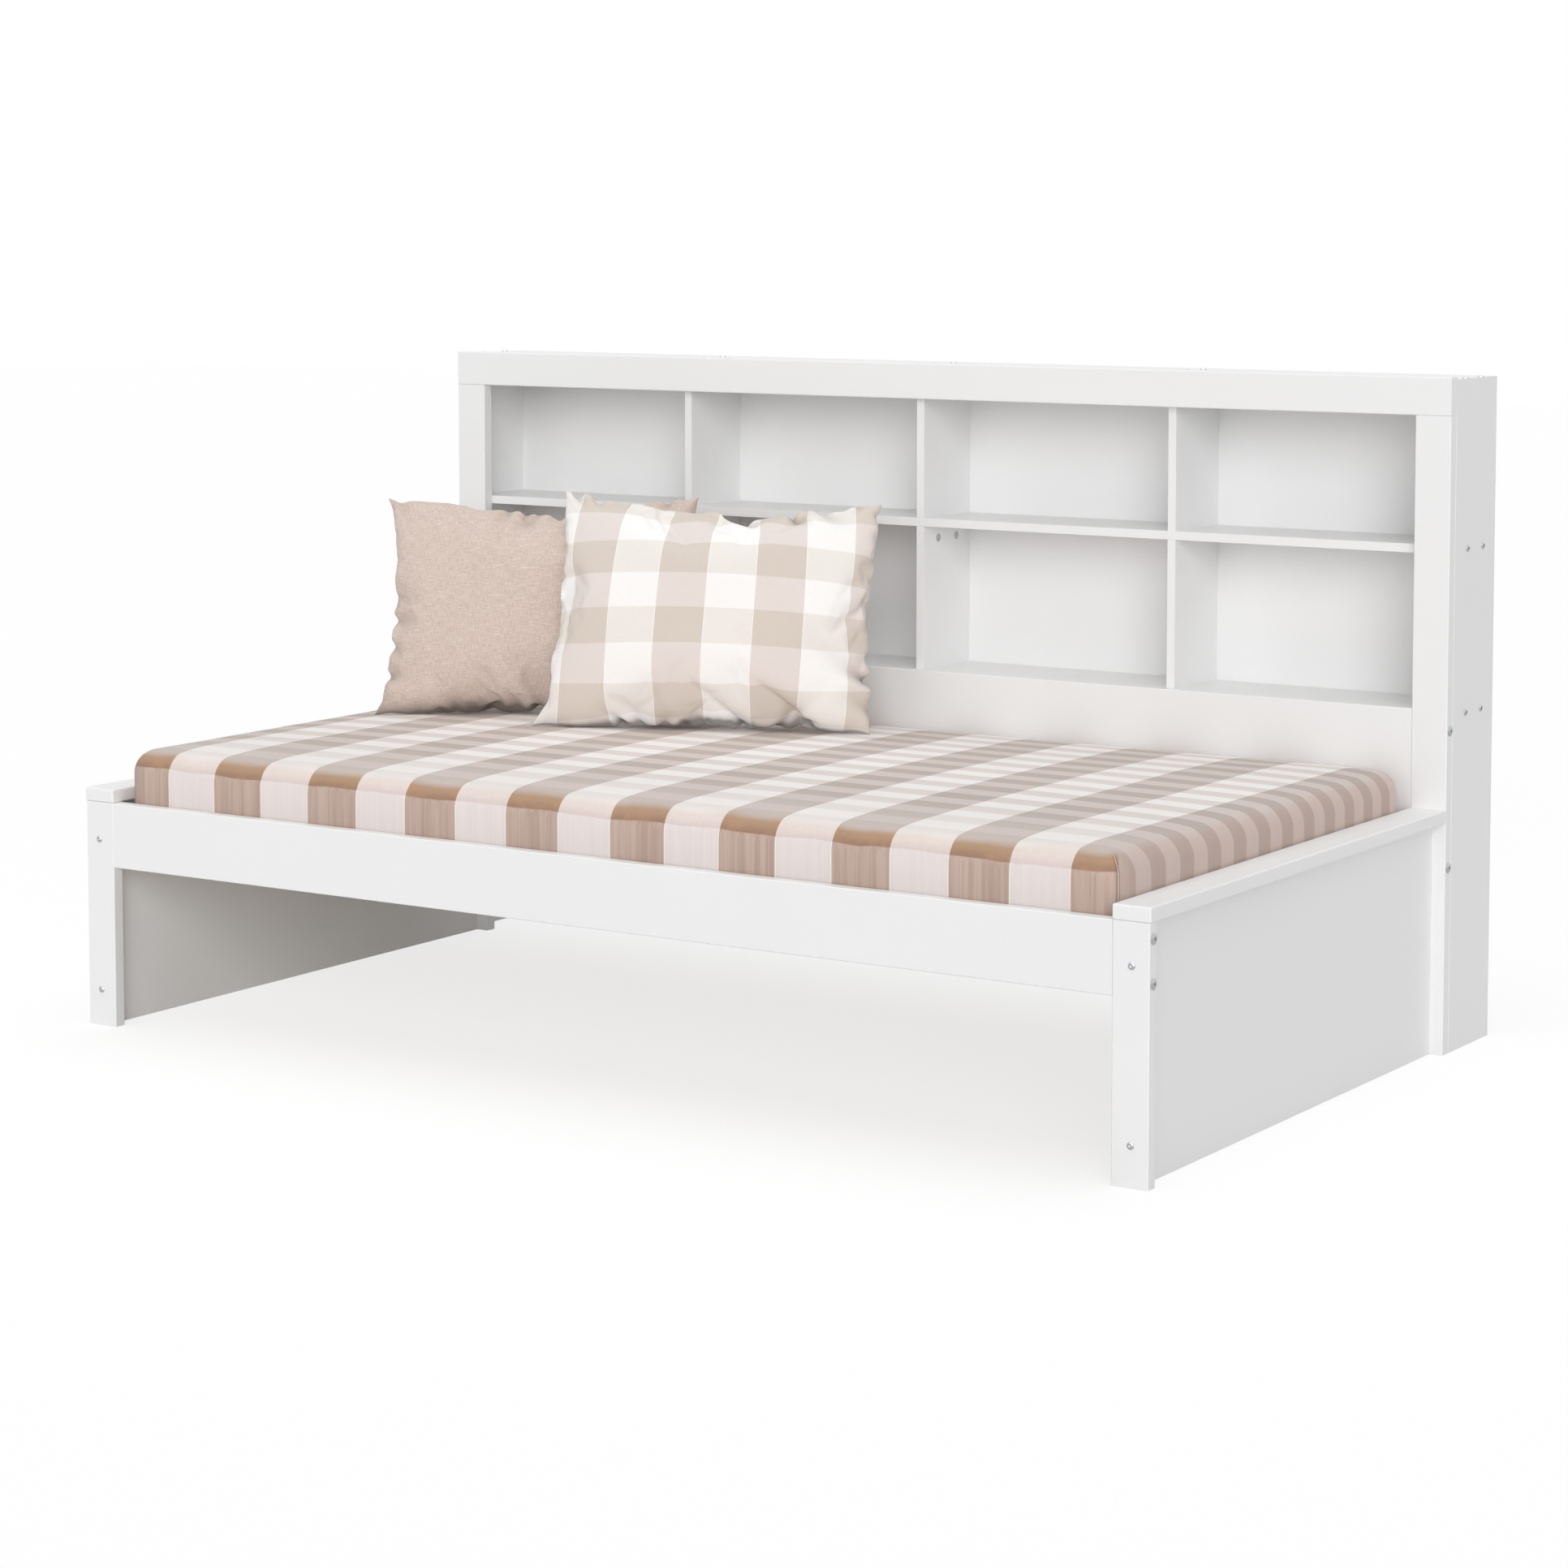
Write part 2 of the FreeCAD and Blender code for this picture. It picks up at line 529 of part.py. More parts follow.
def dowels():
    """Wood dowels, grouped by the joint that they hold."""
    caps = []
    header = []
    carcass_front = []
    dividers = []
    for side in SIDES.values():
        for x in (POST_X - DOWEL_SPREAD, POST_X + DOWEL_SPREAD):
            point = (side * x, POST_DEPTH / 2, POST_HEIGHT)
            caps.append(centred_rod(DOWEL, CAP_DOWEL_LENGTH, point, Z_AXIS))
        for y in CAP_DOWEL_Y:
            point = (side * PANEL_X, y, POST_HEIGHT)
            caps.append(centred_rod(THIN_DOWEL, CAP_DOWEL_LENGTH, point, Z_AXIS))
        point = (side * STILE_X, FACE_FRONT, (POST_HEIGHT + CAP_TOP) / 2)
        caps.append(centred_rod(DOWEL, JOINT_DOWEL_LENGTH, point, Y_AXIS))
        for x in (STILE_X - DOWEL_SPREAD, STILE_X + DOWEL_SPREAD):
            point = (side * x, FACE_MIDDLE, HEADER_BOTTOM)
            header.append(centred_rod(DOWEL, HEADER_DOWEL_LENGTH, point, Z_AXIS))
        for z in SIDE_DOWEL_Z:
            point = (side * SIDE_X, CARCASS_FRONT, z)
            carcass_front.append(centred_rod(THIN_DOWEL, JOINT_DOWEL_LENGTH, point, Y_AXIS))
    for x in BOARD_DOWEL_X:
        for z in (BOTTOM_SHELF_Z, TOP_BOARD_Z):
            point = (x, CARCASS_FRONT, z)
            carcass_front.append(centred_rod(THIN_DOWEL, JOINT_DOWEL_LENGTH, point, Y_AXIS))
    for y in SHELF_DOWEL_Y:
        point = (DIVIDER_X["centre"], y, MIDDLE_SHELF_TOP - SHELF_DOWEL_SINK)
        dividers.append(rod(DOWEL, SHELF_DOWEL_LENGTH, point, Z_AXIS))
    for x in (DIVIDER_X["left"], DIVIDER_X["right"]):
        for y in CARCASS_SCREW_Y:
            point = (x, y, MIDDLE_SHELF_Z)
            dividers.append(centred_rod(DOWEL, DIVIDER_DOWEL_LENGTH, point, Z_AXIS))
    return {
        "cap_dowels": caps,
        "header_dowels": header,
        "carcass_dowels": carcass_front,
        "divider_dowels": dividers,
    }


def back_nails():
    """Nails through the back panels into the shelves and dividers."""
    nails = []
    for z in (BOTTOM_SHELF_Z, MIDDLE_SHELF_Z):
        for x in SHELF_NAIL_X:
            nails.append(nail((x, CARCASS_REAR, z), -Y_AXIS))
    for x in (DIVIDER_X["left"], *SEAM_NAIL_X, DIVIDER_X["right"]):
        for z in DIVIDER_NAIL_Z:
            nails.append(nail((x, CARCASS_REAR, z), -Y_AXIS))
    return nails


def drilled(host, cutters):
    """A board with a hole for each fastener that runs into it."""
    near = [cutter for cutter in cutters if cutter.BoundBox.intersect(host.BoundBox)]
    if not near:
        return host
    return host.cut(near)


# --- the whole bed ---
def make_bed():
    """All sub-parts by name: each is one solid, or a group of like fasteners."""
    boards = {}
    boards.update(ends())
    boards["front_rail"] = front_rail()
    boards.update(face_frame())
    boards.update(carcass())
    boards.update(slat_base())

    bolt_groups, nut_bores = frame_bolts()
    cam_groups, cam_bores = cam_fittings()
    hardware = {}
    hardware.update(bolt_groups)
    hardware.update(screws())
    hardware.update(cam_groups)
    hardware.update(dowels())
    hardware["back_nails"] = back_nails()

    cutters = nut_bores + cam_bores
    for group in hardware.values():
        cutters.extend(group)
    pieces = {name: drilled(host, cutters) for name, host in boards.items()}
    for name, group in hardware.items():
        pieces[name] = Part.makeCompound(group)
    cover, pieces["mattress"], pieces["fitted_sheet"] = bedding()
    pieces["pillow_linen"] = pillow(
        LINEN_CORNER, LINEN_YAW, LINEN_HEIGHT, LINEN_TOP_SHIFT, cover)
    pieces["pillow_checked"] = pillow(
        CHECK_CORNER, CHECK_YAW, CHECK_HEIGHT, CHECK_TOP_SHIFT, cover)
    return pieces, hardware


def main():
    os.makedirs("parts", exist_ok=True)
    pieces, hardware = make_bed()
    for name, shape in pieces.items():
        expected = len(hardware[name]) if name in hardware else 1
        if len(shape.Solids) != expected or not shape.isValid():
            raise ValueError("{}: {} solids, wanted {}".format(name, len(shape.Solids), expected))
        if expected == 1:
            shape = shape.Solids[0]
        shape.translate(V(0, -FOOTPRINT_MIDDLE, 0))
        shape.exportStep("parts/" + name + ".step")
    print(len(pieces), "sub-parts, footprint middle at y =", FOOTPRINT_MIDDLE)


main()
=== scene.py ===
"""Looks of the bookcase headboard bed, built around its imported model.

Metres, in the model's own frame: X along the bed to the right, Y back towards the bookcase,
Z up from the floor. Painted boards, slats and hardware keep their own shapes and get their
finishes here. The mattress, the fitted sheet and the two pillows are modelled here.
"""

import json
import math
import random

import bmesh
import bpy
import numpy as np
from mathutils import Euler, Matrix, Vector, noise


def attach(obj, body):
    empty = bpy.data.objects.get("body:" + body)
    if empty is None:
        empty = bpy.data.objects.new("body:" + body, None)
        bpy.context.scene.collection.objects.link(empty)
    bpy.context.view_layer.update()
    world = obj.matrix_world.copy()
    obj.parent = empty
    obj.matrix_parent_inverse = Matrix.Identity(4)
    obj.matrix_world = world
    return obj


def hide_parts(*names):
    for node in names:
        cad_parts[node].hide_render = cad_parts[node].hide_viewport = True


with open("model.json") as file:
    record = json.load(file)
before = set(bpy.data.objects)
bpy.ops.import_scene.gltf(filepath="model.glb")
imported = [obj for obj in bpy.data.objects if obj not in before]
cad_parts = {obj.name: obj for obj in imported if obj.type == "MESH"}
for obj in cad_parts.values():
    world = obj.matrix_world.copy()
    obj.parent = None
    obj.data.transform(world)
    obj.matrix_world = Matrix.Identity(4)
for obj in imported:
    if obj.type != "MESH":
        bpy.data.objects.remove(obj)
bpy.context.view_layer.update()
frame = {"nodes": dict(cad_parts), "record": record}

# --- where the bed's own drawing has its zero along Y: the front faces of the posts ---
POSTS_FRONT = -0.60775

# --- camera: fitted to the photograph's edges ---
CAMERA_PLACE = (3.4805, -5.31585, 1.392)
CAMERA_YAW = 33.195
CAMERA_PITCH = 4.579
CAMERA_LENS = 87.282
CAMERA_SHIFT = -0.175

# --- lamps: direction that the light comes from, strength over pi, spread in degrees ---
SKY = 0.25
LAMPS = {
    "key": ((0.53, -0.79, 0.28), 0.41, 34.0),
    "overhead": ((0.0, 0.0, 1.0), 0.46, 80.0),
    "ahead": ((-0.10, -0.98, 0.16), 0.11, 34.0),
}
FLOOR_GLOW = 0.74  # as the camera sees it: its own light, and how much of the lamps' it shows
FLOOR_PALE = 0.30
FLOOR_BOUNCE = 0.80  # how much light it throws back on the bed

# --- the bedding ---
BED_LENGTH = 1.905
BED_WIDTH = 0.991
BED_FRONT = POSTS_FRONT + 0.024
BED_MIDDLE = BED_FRONT + BED_WIDTH / 2
BED_BOTTOM = 0.3123
BED_EDGE_TOP = 0.472
BED_CORNER = 0.045
TOP_ROUND = 0.040
BOTTOM_ROUND = 0.020
CROWN = 0.008
SHEET_THICKNESS = 0.001
SHEET_TUCK = 0.090
PAD_SHRINK = 0.0016  # how far the mattress lies inside the sheet's outside
RING_STEPS = (150, 80, 10)  # steps around the bedding: along a side, across an end, at a corner
RIPPLE = 0.0008  # the faint ripples of its top
RIPPLE_START = 0.002  # how far in from its sides they start, and over what distance they grow
RIPPLE_GROWTH = 0.03

SEAM_TURN = 52.0  # where the sheet's corner seams are, in degrees round from the long side
SEAM_LOW = 0.330
SEAM_HIGH = 0.468
SEAM_HALF = 0.0013
HEM_HALF = 0.003

# --- the pillows: as drawn in the model ---
PILLOW_WIDTH = 0.600
PILLOW_THICKNESS = 0.150
PILLOW_TOP_NARROWING = 0.014
PILLOW_LEAN = 10.0
PILLOW_CLEARANCE = 0.0006  # between a pillow and the sheet
GIVE_HEIGHT = 0.16  # how far up a pillow gives way where its foot is held by the bed
FOLLOW_HEIGHT = 0.20  # how far up it follows the bed's rounded top
CUT_SPACING = 0.0060
CUT_GAP = 0.012  # how far apart the two layers of the flat cut lie in the middle, each way
CUT_EXTRA = (0.045, 0.075)  # the shares by which the flat cut is wider and taller than the pillow
# how a pillow's cloth is blown up
BLOW_FRAMES = 34
BLOW_SHAKE = 0.004
CLOTH = {
    "quality": 7, "mass": 0.25, "tension_stiffness": 30, "compression_stiffness": 18,
    "shear_stiffness": 6, "bending_stiffness": 0.35, "tension_damping": 8,
    "compression_damping": 8, "shear_damping": 6, "air_damping": 3, "use_pressure": True,
    "uniform_pressure_force": 4.0,
}
# corners: how pointed, how thin, each with its reach, and the reach of what sticks out sideways
CORNER_POINT = (0.42, 0.036)
CORNER_THIN = (0.45, 0.060)
EAR_REACH = 0.040
# the small gathers up the sides: where the first is, the steps between them, and their half
# width, reach, slant and depth, all drawn at random between two values
FIRST_GATHER = (0.045, 0.060)
GATHER_STEP = (0.036, 0.054)
GATHER_SHAPE = ((0.006, 0.009), (0.018, 0.045), (-0.4, 0.4), (0.08, 0.24))
LAST_GATHER = 0.040  # they end this far below the top
SEAM_WANDER = (0.0028, 0.014)  # how far the seam strays forwards and back, and its reach
# a line of painted shade along the pillow's foot, where it meets the bed
FOOT_SHADE_LINE = (0.35, 0.006)  # the dark line under the foot, and how high it reaches
# corner: where the left end of its foot is
# yaw: its turn from the bed's length
# top shift: how far its top stands to the right of its foot
# lift: how much higher than its height the left and right top corners stand
# cut bulge: how far the cut's left, its right, and its top and bottom curve out in the middle
# side in: how far its left and right corners stand in from its full width
# ears: how far the corners stick out sideways: left low, left high, right low, right high
# seam gathers: how deep the small gathers up its sides are, least and most
# contact: how dark the shade at its foot is, and how high it reaches
# seed: picks its puckers and small gathers
# gathers: edge, share along it from the left or the bottom, how far the seam is drawn in, the
# crease's half width, its reach, sideways slant and depth as a share of the stuffing
# a gather's depth also sets how dark the painted shade in its crease is
PILLOWS = {
    "linen": {
        "corner": (-0.860, POSTS_FRONT + 0.580), "yaw": 31.0, "height": 0.384, "top_shift": 0.0,
        "lift": (0.005, 0.010), "cut_bulge": (0.005, 0.003, 0.0165),
        "side_in": (0.008, 0.0), "ears": (0.012, 0.006, 0.0, 0.0),
        "seam_gathers": (0.0008, 0.0030), "contact": (0.50, 0.030), "seed": 12,
        "gathers": (
            ("top", 0.045, 0.004, 0.010, 0.050, 0.3, 0.12),
            ("top", 0.375, 0.004, 0.008, 0.045, -0.3, 0.22),
            ("top", 0.425, 0.007, 0.009, 0.055, 0.2, 0.30),
            ("top", 0.475, 0.003, 0.012, 0.080, -0.5, 0.22),
            ("top", 0.540, 0.006, 0.010, 0.035, 0.1, 0.20),
            ("top", 0.720, 0.006, 0.010, 0.040, 0.2, 0.25),
            ("top", 0.900, 0.009, 0.009, 0.035, -0.2, 0.30),
            ("left", 0.080, 0.003, 0.008, 0.050, 0.2, 0.15),
            ("left", 0.175, 0.010, 0.009, 0.060, 0.1, 0.45),
            ("left", 0.305, 0.006, 0.009, 0.050, -0.2, 0.25),
            ("left", 0.425, 0.005, 0.008, 0.070, -0.1, 0.24),
            ("left", 0.545, 0.004, 0.010, 0.080, -0.2, 0.18),
            ("left", 0.620, -0.003, 0.028, 0.060, 0.0, 0.0),
            ("bottom", 0.228, 0.001, 0.009, 0.050, -0.1, 0.38),
            ("bottom", 0.500, 0.003, 0.011, 0.080, -0.2, 0.42),
            ("bottom", 0.740, 0.006, 0.010, 0.040, 0.2, 0.35),
        ),
    },
    "checked": {
        "corner": (-0.506, POSTS_FRONT + 0.596), "yaw": 24.6, "height": 0.399,
        "top_shift": 0.020,
        "lift": (0.0155, -0.001), "cut_bulge": (0.009, 0.006, 0.0125),
        "side_in": (0.0, 0.006), "ears": (0.016, 0.0, 0.0, -0.002),
        "seam_gathers": (0.0008, 0.0032), "contact": (0.26, 0.020), "seed": 3,
        "gathers": (
            ("top", 0.047, 0.015, 0.008, 0.032, 0.5, 0.45),
            ("top", 0.110, 0.014, 0.013, 0.030, 0.3, 0.20),
            ("top", 0.585, 0.009, 0.009, 0.045, 0.4, 0.42),
            ("top", 0.725, 0.012, 0.008, 0.050, 0.5, 0.60),
            ("top", 0.825, 0.012, 0.018, 0.065, 0.6, 0.28),
            ("top", 0.167, 0.006, 0.030, 0.040, 0.0, 0.0),
            ("top", 0.480, -0.011, 0.030, 0.040, 0.0, 0.0),
            ("top", 0.875, 0.009, 0.018, 0.040, 0.0, 0.0),
            ("left", 0.560, -0.005, 0.035, 0.050, 0.0, 0.0),
            ("top", 0.925, 0.004, 0.008, 0.030, -0.3, 0.20),
            ("right", 0.925, 0.006, 0.007, 0.028, 0.4, 0.30),
            ("right", 0.225, 0.012, 0.008, 0.080, 0.4, 0.60),
            ("right", 0.105, 0.004, 0.008, 0.060, 0.5, 0.32),
            ("bottom", 0.243, 0.009, 0.0065, 0.028, -0.6, 0.60),
            ("bottom", 0.374, 0.007, 0.008, 0.022, 0.0, 0.50),
            ("bottom", 0.437, 0.003, 0.007, 0.018, 0.0, 0.35),
            ("bottom", 0.602, 0.008, 0.008, 0.034, -0.4, 0.50),
            ("bottom", 0.705, 0.004, 0.011, 0.070, 0.9, 0.32),
        ),
    },
}
# each edge's axis across it in the flat cut, and the way inwards along that axis
EDGES = {"left": (0, 1), "right": (0, -1), "bottom": (1, 1), "top": (1, -1)}


# --- node helpers ---
def srgb(red, green, blue):
    """An 8-bit display colour, not a near black one, as the linear one that a shader wants."""
    return (*(((value / 255 + 0.055) / 1.055) ** 2.4 for value in (red, green, blue)), 1.0)


class Shader:
    """A material under construction, with short names for the nodes it is made of."""

    def __init__(self, name, **settings):
        self.material = bpy.data.materials.new(name)
        self.material.use_nodes = True
        self.tree = self.material.node_tree
        self.surface = self.tree.nodes["Principled BSDF"]
        for socket, value in settings.items():
            self.surface.inputs[socket.replace("_", " ")].default_value = value

    def node(self, kind, **settings):
        made = self.tree.nodes.new(kind)
        for name, value in settings.items():
            setattr(made, name, value)
        return made

    def put(self, socket, value):
        """A link where the value is another node's output, and a constant otherwise."""
        if isinstance(value, bpy.types.NodeSocket):
            self.tree.links.new(value, socket)
        elif socket.type == "VECTOR":
            socket.default_value = value[:3]
        else:
            socket.default_value = value

    def math(self, operation, *values):
        made = self.node("ShaderNodeMath", operation=operation)
        for socket, value in zip(made.inputs, values):
            self.put(socket, value)
        return made.outputs[0]

    def times(self, first, second):
        return self.math("MULTIPLY", first, second)

    def minus(self, first, second):
        return self.math("SUBTRACT", first, second)

    def inverse(self, share):
        """1 where a share is 0, and 0 where it is 1."""
        return self.minus(1.0, share)

    def step(self, value, low, high):
        """0 below low, 1 above high, smooth between."""
        made = self.node("ShaderNodeMapRange", interpolation_type="SMOOTHSTEP")
        for socket, entry in zip(made.inputs, (value, low, high, 0.0, 1.0)):
            self.put(socket, entry)
        return made.outputs[0]

    def between(self, value, low, middle, high):
        """1 at the middle, falling to 0 at low and at high."""
        return self.times(self.step(value, low, middle),
                          self.inverse(self.step(value, middle, high)))

    def alternate(self, value, soft):
        """1 in the first of every two units, 0 in the second, with soft edges."""
        share = self.math("PINGPONG", self.minus(value, 0.5), 1.0)
        return self.inverse(self.step(share, 0.5 - soft, 0.5 + soft))

    def mix(self, share, first, second):
        made = self.node("ShaderNodeMix", data_type="RGBA")
        self.put(made.inputs[0], share)
        self.put(made.inputs[6], first)
        self.put(made.inputs[7], second)
        return made.outputs[2]

    def scaled(self, colour, factor):
        """A colour made lighter or darker by a factor."""
        made = self.node("ShaderNodeVectorMath", operation="SCALE")
        self.put(made.inputs[0], colour)
        self.put(made.inputs[3], factor)
        return made.outputs[0]

    def darker(self, colour, share, amount):
        """A colour made darker by an amount where a share is 1."""
        return self.scaled(colour, self.math("MULTIPLY_ADD", share, -amount, 1.0))

    def object_place(self):
        return self.node("ShaderNodeTexCoord").outputs["Object"]

    def attribute(self, name):
        return self.node("ShaderNodeAttribute", attribute_name=name).outputs["Vector"]

    def fed(self, kind, **inputs):
        """A new node's first output, with its inputs linked or set."""
        made = self.node(kind)
        for name, value in inputs.items():
            if value is not None:
                self.put(made.inputs[name], value)
        return made.outputs[0]

    def stretched(self, vector, scale):
        return self.fed("ShaderNodeMapping", Vector=vector, Scale=scale)

    def axes(self, vector):
        made = self.node("ShaderNodeSeparateXYZ")
        self.put(made.inputs[0], vector)
        return made.outputs

    def noise(self, vector, scale, detail=2.0, roughness=0.5):
        return self.fed("ShaderNodeTexNoise", Vector=vector, Scale=scale, Detail=detail,
                        Roughness=roughness)

    def spread(self, value, middle, half):
        """A noise value, which lies about 0.5, as middle plus or minus half."""
        return self.math("MULTIPLY_ADD", self.minus(value, 0.5), 2 * half, middle)

    def threads(self, vector, stretch, detail, roughness=0.5):
        """Noise drawn out along some directions, as by threads or grain."""
        return self.noise(self.stretched(vector, stretch), 1.0, detail, roughness)

    def uneven(self, colour, value, half):
        """A colour made lighter and darker by a noise value, at most by half either way."""
        return self.scaled(colour, self.spread(value, 1.0, half))

    def creased(self, colour):
        """A cloth's colour, darker where its gathers and its foot lie in shade."""
        shade = self.node("ShaderNodeAttribute", attribute_name="shade").outputs["Fac"]
        return self.scaled(colour, self.inverse(shade))

    def bump(self, height, distance, strength=1.0, under=None):
        return self.fed("ShaderNodeBump", Height=height, Distance=distance, Strength=strength,
                        Normal=under)

    def finish(self, colour=None, roughness=None, normal=None):
        for socket, value in (("Base Color", colour), ("Roughness", roughness),
                              ("Normal", normal)):
            if value is not None:
                self.put(self.surface.inputs[socket], value)
        return self.material


# --- finishes ---
def white_paint():
    """Satin white paint, sprayed: a faint peel, slightly uneven gloss."""
    shader = Shader("white_paint", Specular_IOR_Level=0.45)
    place = shader.object_place()
    cloud = shader.noise(place, 2.2, 3.0)
    colour = shader.uneven(srgb(243, 243, 243), cloud, 0.02)
    gloss = shader.spread(shader.noise(place, 9.0, 3.0), 0.40, 0.08)
    peel = shader.noise(place, 420.0, 1.5)
    wave = shader.noise(place, 26.0, 2.0)
    normal = shader.bump(wave, 0.0008, 0.35)
    normal = shader.bump(peel, 0.00012, 0.5, normal)
    return shader.finish(colour, gloss, normal)


def bare_wood(name, along, light, dark, ring_scale):
    """Planed wood: growth rings drawn out along the board, and fine pores."""
    shader = Shader(name, Specular_IOR_Level=0.35)
    place = shader.object_place()
    draw_out = [14.0, 14.0, 14.0]
    draw_out[along] = 0.9
    fine = [260.0, 260.0, 260.0]
    fine[along] = 9.0
    grain_place = shader.stretched(place, tuple(draw_out))
    rings = shader.noise(grain_place, ring_scale, 5.0, 0.6)
    rings = shader.math("FRACT", shader.times(rings, 9.0))
    rings = shader.step(rings, 0.15, 0.95)
    pores = shader.threads(place, tuple(fine), 2.0)
    colour = shader.mix(rings, srgb(*light), srgb(*dark))
    colour = shader.uneven(colour, pores, 0.10)
    normal = shader.bump(pores, 0.0003, 0.5)
    return shader.finish(colour, shader.spread(pores, 0.62, 0.08), normal)


def plated_steel():
    """Bright zinc plate with fine turning marks."""
    shader = Shader("plated_steel", Metallic=1.0)
    place = shader.object_place()
    cloud = shader.noise(place, 180.0, 2.0)
    colour = shader.uneven(srgb(196, 197, 200), cloud, 0.08)
    normal = shader.bump(shader.noise(place, 900.0, 1.0), 0.00004, 0.5)
    return shader.finish(colour, shader.spread(cloud, 0.30, 0.08), normal)


def webbing():
    """Woven tape: ribs across, crossed by fine threads."""
    shader = Shader("webbing", Roughness=0.9)
    place = shader.object_place()
    x, y, _ = shader.axes(place)
    ribs = shader.math("SINE", shader.times(x, 2 * math.pi / 0.0022))
    threads = shader.math("SINE", shader.times(y, 2 * math.pi / 0.0016))
    weave = shader.times(ribs, threads)
    colour = shader.mix(shader.spread(weave, 0.5, 0.25), srgb(206, 202, 194), srgb(176, 171, 162))
    normal = shader.bump(weave, 0.0004, 0.8)
    return shader.finish(colour, None, normal)


def ticking():
    """Mattress cloth quilted in diamonds."""
    shader = Shader("mattress_ticking", Roughness=0.92, Sheen_Weight=0.15)
    place = shader.object_place()
    x, y, _ = shader.axes(place)
    pitch = 0.085
    lines = []
    for sign in (1.0, -1.0):
        across = shader.math("MULTIPLY_ADD", y, sign, x)
        share = shader.math("PINGPONG", across, pitch)
        lines.append(shader.step(share, 0.0, 0.020))
    puff = shader.times(lines[0], lines[1])
    grain = shader.noise(place, 900.0, 1.0)
    colour = shader.mix(puff, srgb(214, 208, 198), srgb(236, 232, 225))
    colour = shader.uneven(colour, grain, 0.04)
    return shader.finish(colour, None, shader.bump(puff, 0.003, 0.8))


# bands of the sheet
BAND = 0.1016  # width of a band that runs front to back
BAND_START = 0.0625
CROSS_START = 0.077  # the first cross band's edge, from the posts' front
CROSS_WIDTH = 0.04712  # its width, and how much narrower each next one is
CROSS_SHRINK = 0.00033
FACE_LOW = 0.384  # the lowest part of the long faces that shows above the rail
FACE_TOP = 0.4450  # where they end and the warm tone of the rounded edge starts
ROUND_LOW = 0.4605  # that tone fades out between these two
ROUND_HIGH = 0.4722
THREAD_LINE = 0.0022  # pale line along a band's edge, and the fine dark one beside it
THREAD_SHADE = 0.0038


def sheet_bands(shader, x, y, place):
    """Where the bands lie: 1 in a dark band, 1 in a pale cross band, metres to a band's edge."""
    shaken_x = shader.math("ADD", x, shader.spread(shader.noise(place, 3.0, 1.0), 0.0, 0.0015))
    shaken_y = shader.math("ADD", y, shader.spread(shader.noise(place, 5.0, 2.0), 0.0, 0.0022))
    band = shader.math("DIVIDE", shader.minus(shaken_x, BAND_START), BAND)
    in_band = shader.math("FRACT", band)
    edge = shader.math("MINIMUM", in_band, shader.inverse(in_band))
    back = shader.minus(shaken_y, POSTS_FRONT + CROSS_START)
    inside = shader.math("MULTIPLY_ADD", back, -4 * CROSS_SHRINK, CROSS_WIDTH ** 2)
    root = shader.math("SQRT", shader.math("MAXIMUM", inside, 0.0))
    count = shader.math("DIVIDE", shader.minus(CROSS_WIDTH, root), 2 * CROSS_SHRINK)
    return (shader.alternate(band, 0.006), shader.alternate(count, 0.035),
            shader.times(edge, BAND))


def sheet_long_face(shader, place, z, dark_band, edge):
    """The straight long faces: plain bands, soft streaks down them, fine lines at their edges."""
    wide = shader.threads(place, (90.0, 90.0, 3.0), 2.0)
    fine = shader.threads(place, (400.0, 400.0, 7.0), 2.0)
    streaks = shader.math("MULTIPLY_ADD", fine, 0.4, shader.times(wide, 0.6))
    dark = shader.mix(shader.step(streaks, 0.36, 0.62), srgb(184, 159, 147), srgb(200, 177, 165))
    thread = shader.inverse(shader.step(edge, 0.7 * THREAD_LINE, 1.3 * THREAD_LINE))
    light = shader.mix(thread, srgb(233, 223, 220), srgb(244, 237, 229))
    line = shader.between(edge, THREAD_SHADE - 0.0008, THREAD_SHADE, THREAD_SHADE + 0.0008)
    face = shader.darker(shader.mix(dark_band, light, dark), line, 0.06)
    # painted shade: the long face darker towards its bottom, where the rail shades it
    low = shader.inverse(shader.step(z, FACE_LOW, FACE_TOP - 0.015))
    return shader.darker(face, low, 0.08)


def seam_shade(shader, colour, from_side, from_end, z):
    """The corner seams: a painted highlight on the seam itself, painted shade in a groove on both
    sides of it.
    """
    past_side = shader.minus(BED_CORNER, from_side)
    past_end = shader.minus(BED_CORNER, from_end)
    both = shader.times(shader.math("GREATER_THAN", past_side, 0.002),
                        shader.math("GREATER_THAN", past_end, 0.002))
    both = shader.times(both, shader.inverse(shader.step(z, SEAM_HIGH - 0.006, SEAM_HIGH)))
    turn = shader.math("ARCTAN2", past_end, past_side)
    radius = shader.math("SQRT", shader.math("ADD", shader.times(past_side, past_side),
                                             shader.times(past_end, past_end)))
    turned = shader.minus(turn, math.radians(SEAM_TURN))
    away = shader.times(radius, shader.math("ABSOLUTE", turned))
    beside = shader.step(away, 0.0007, 0.0012)
    # painted shade in the groove on both sides of the seam
    groove = shader.times(beside, shader.inverse(shader.step(away, 0.0016, 0.0042)))
    colour = shader.darker(colour, shader.times(both, groove), 0.30)
    # painted highlight on the raised seam itself
    pale = shader.times(shader.times(both, shader.inverse(beside)), 0.7)
    return shader.mix(pale, colour, srgb(208, 186, 173))


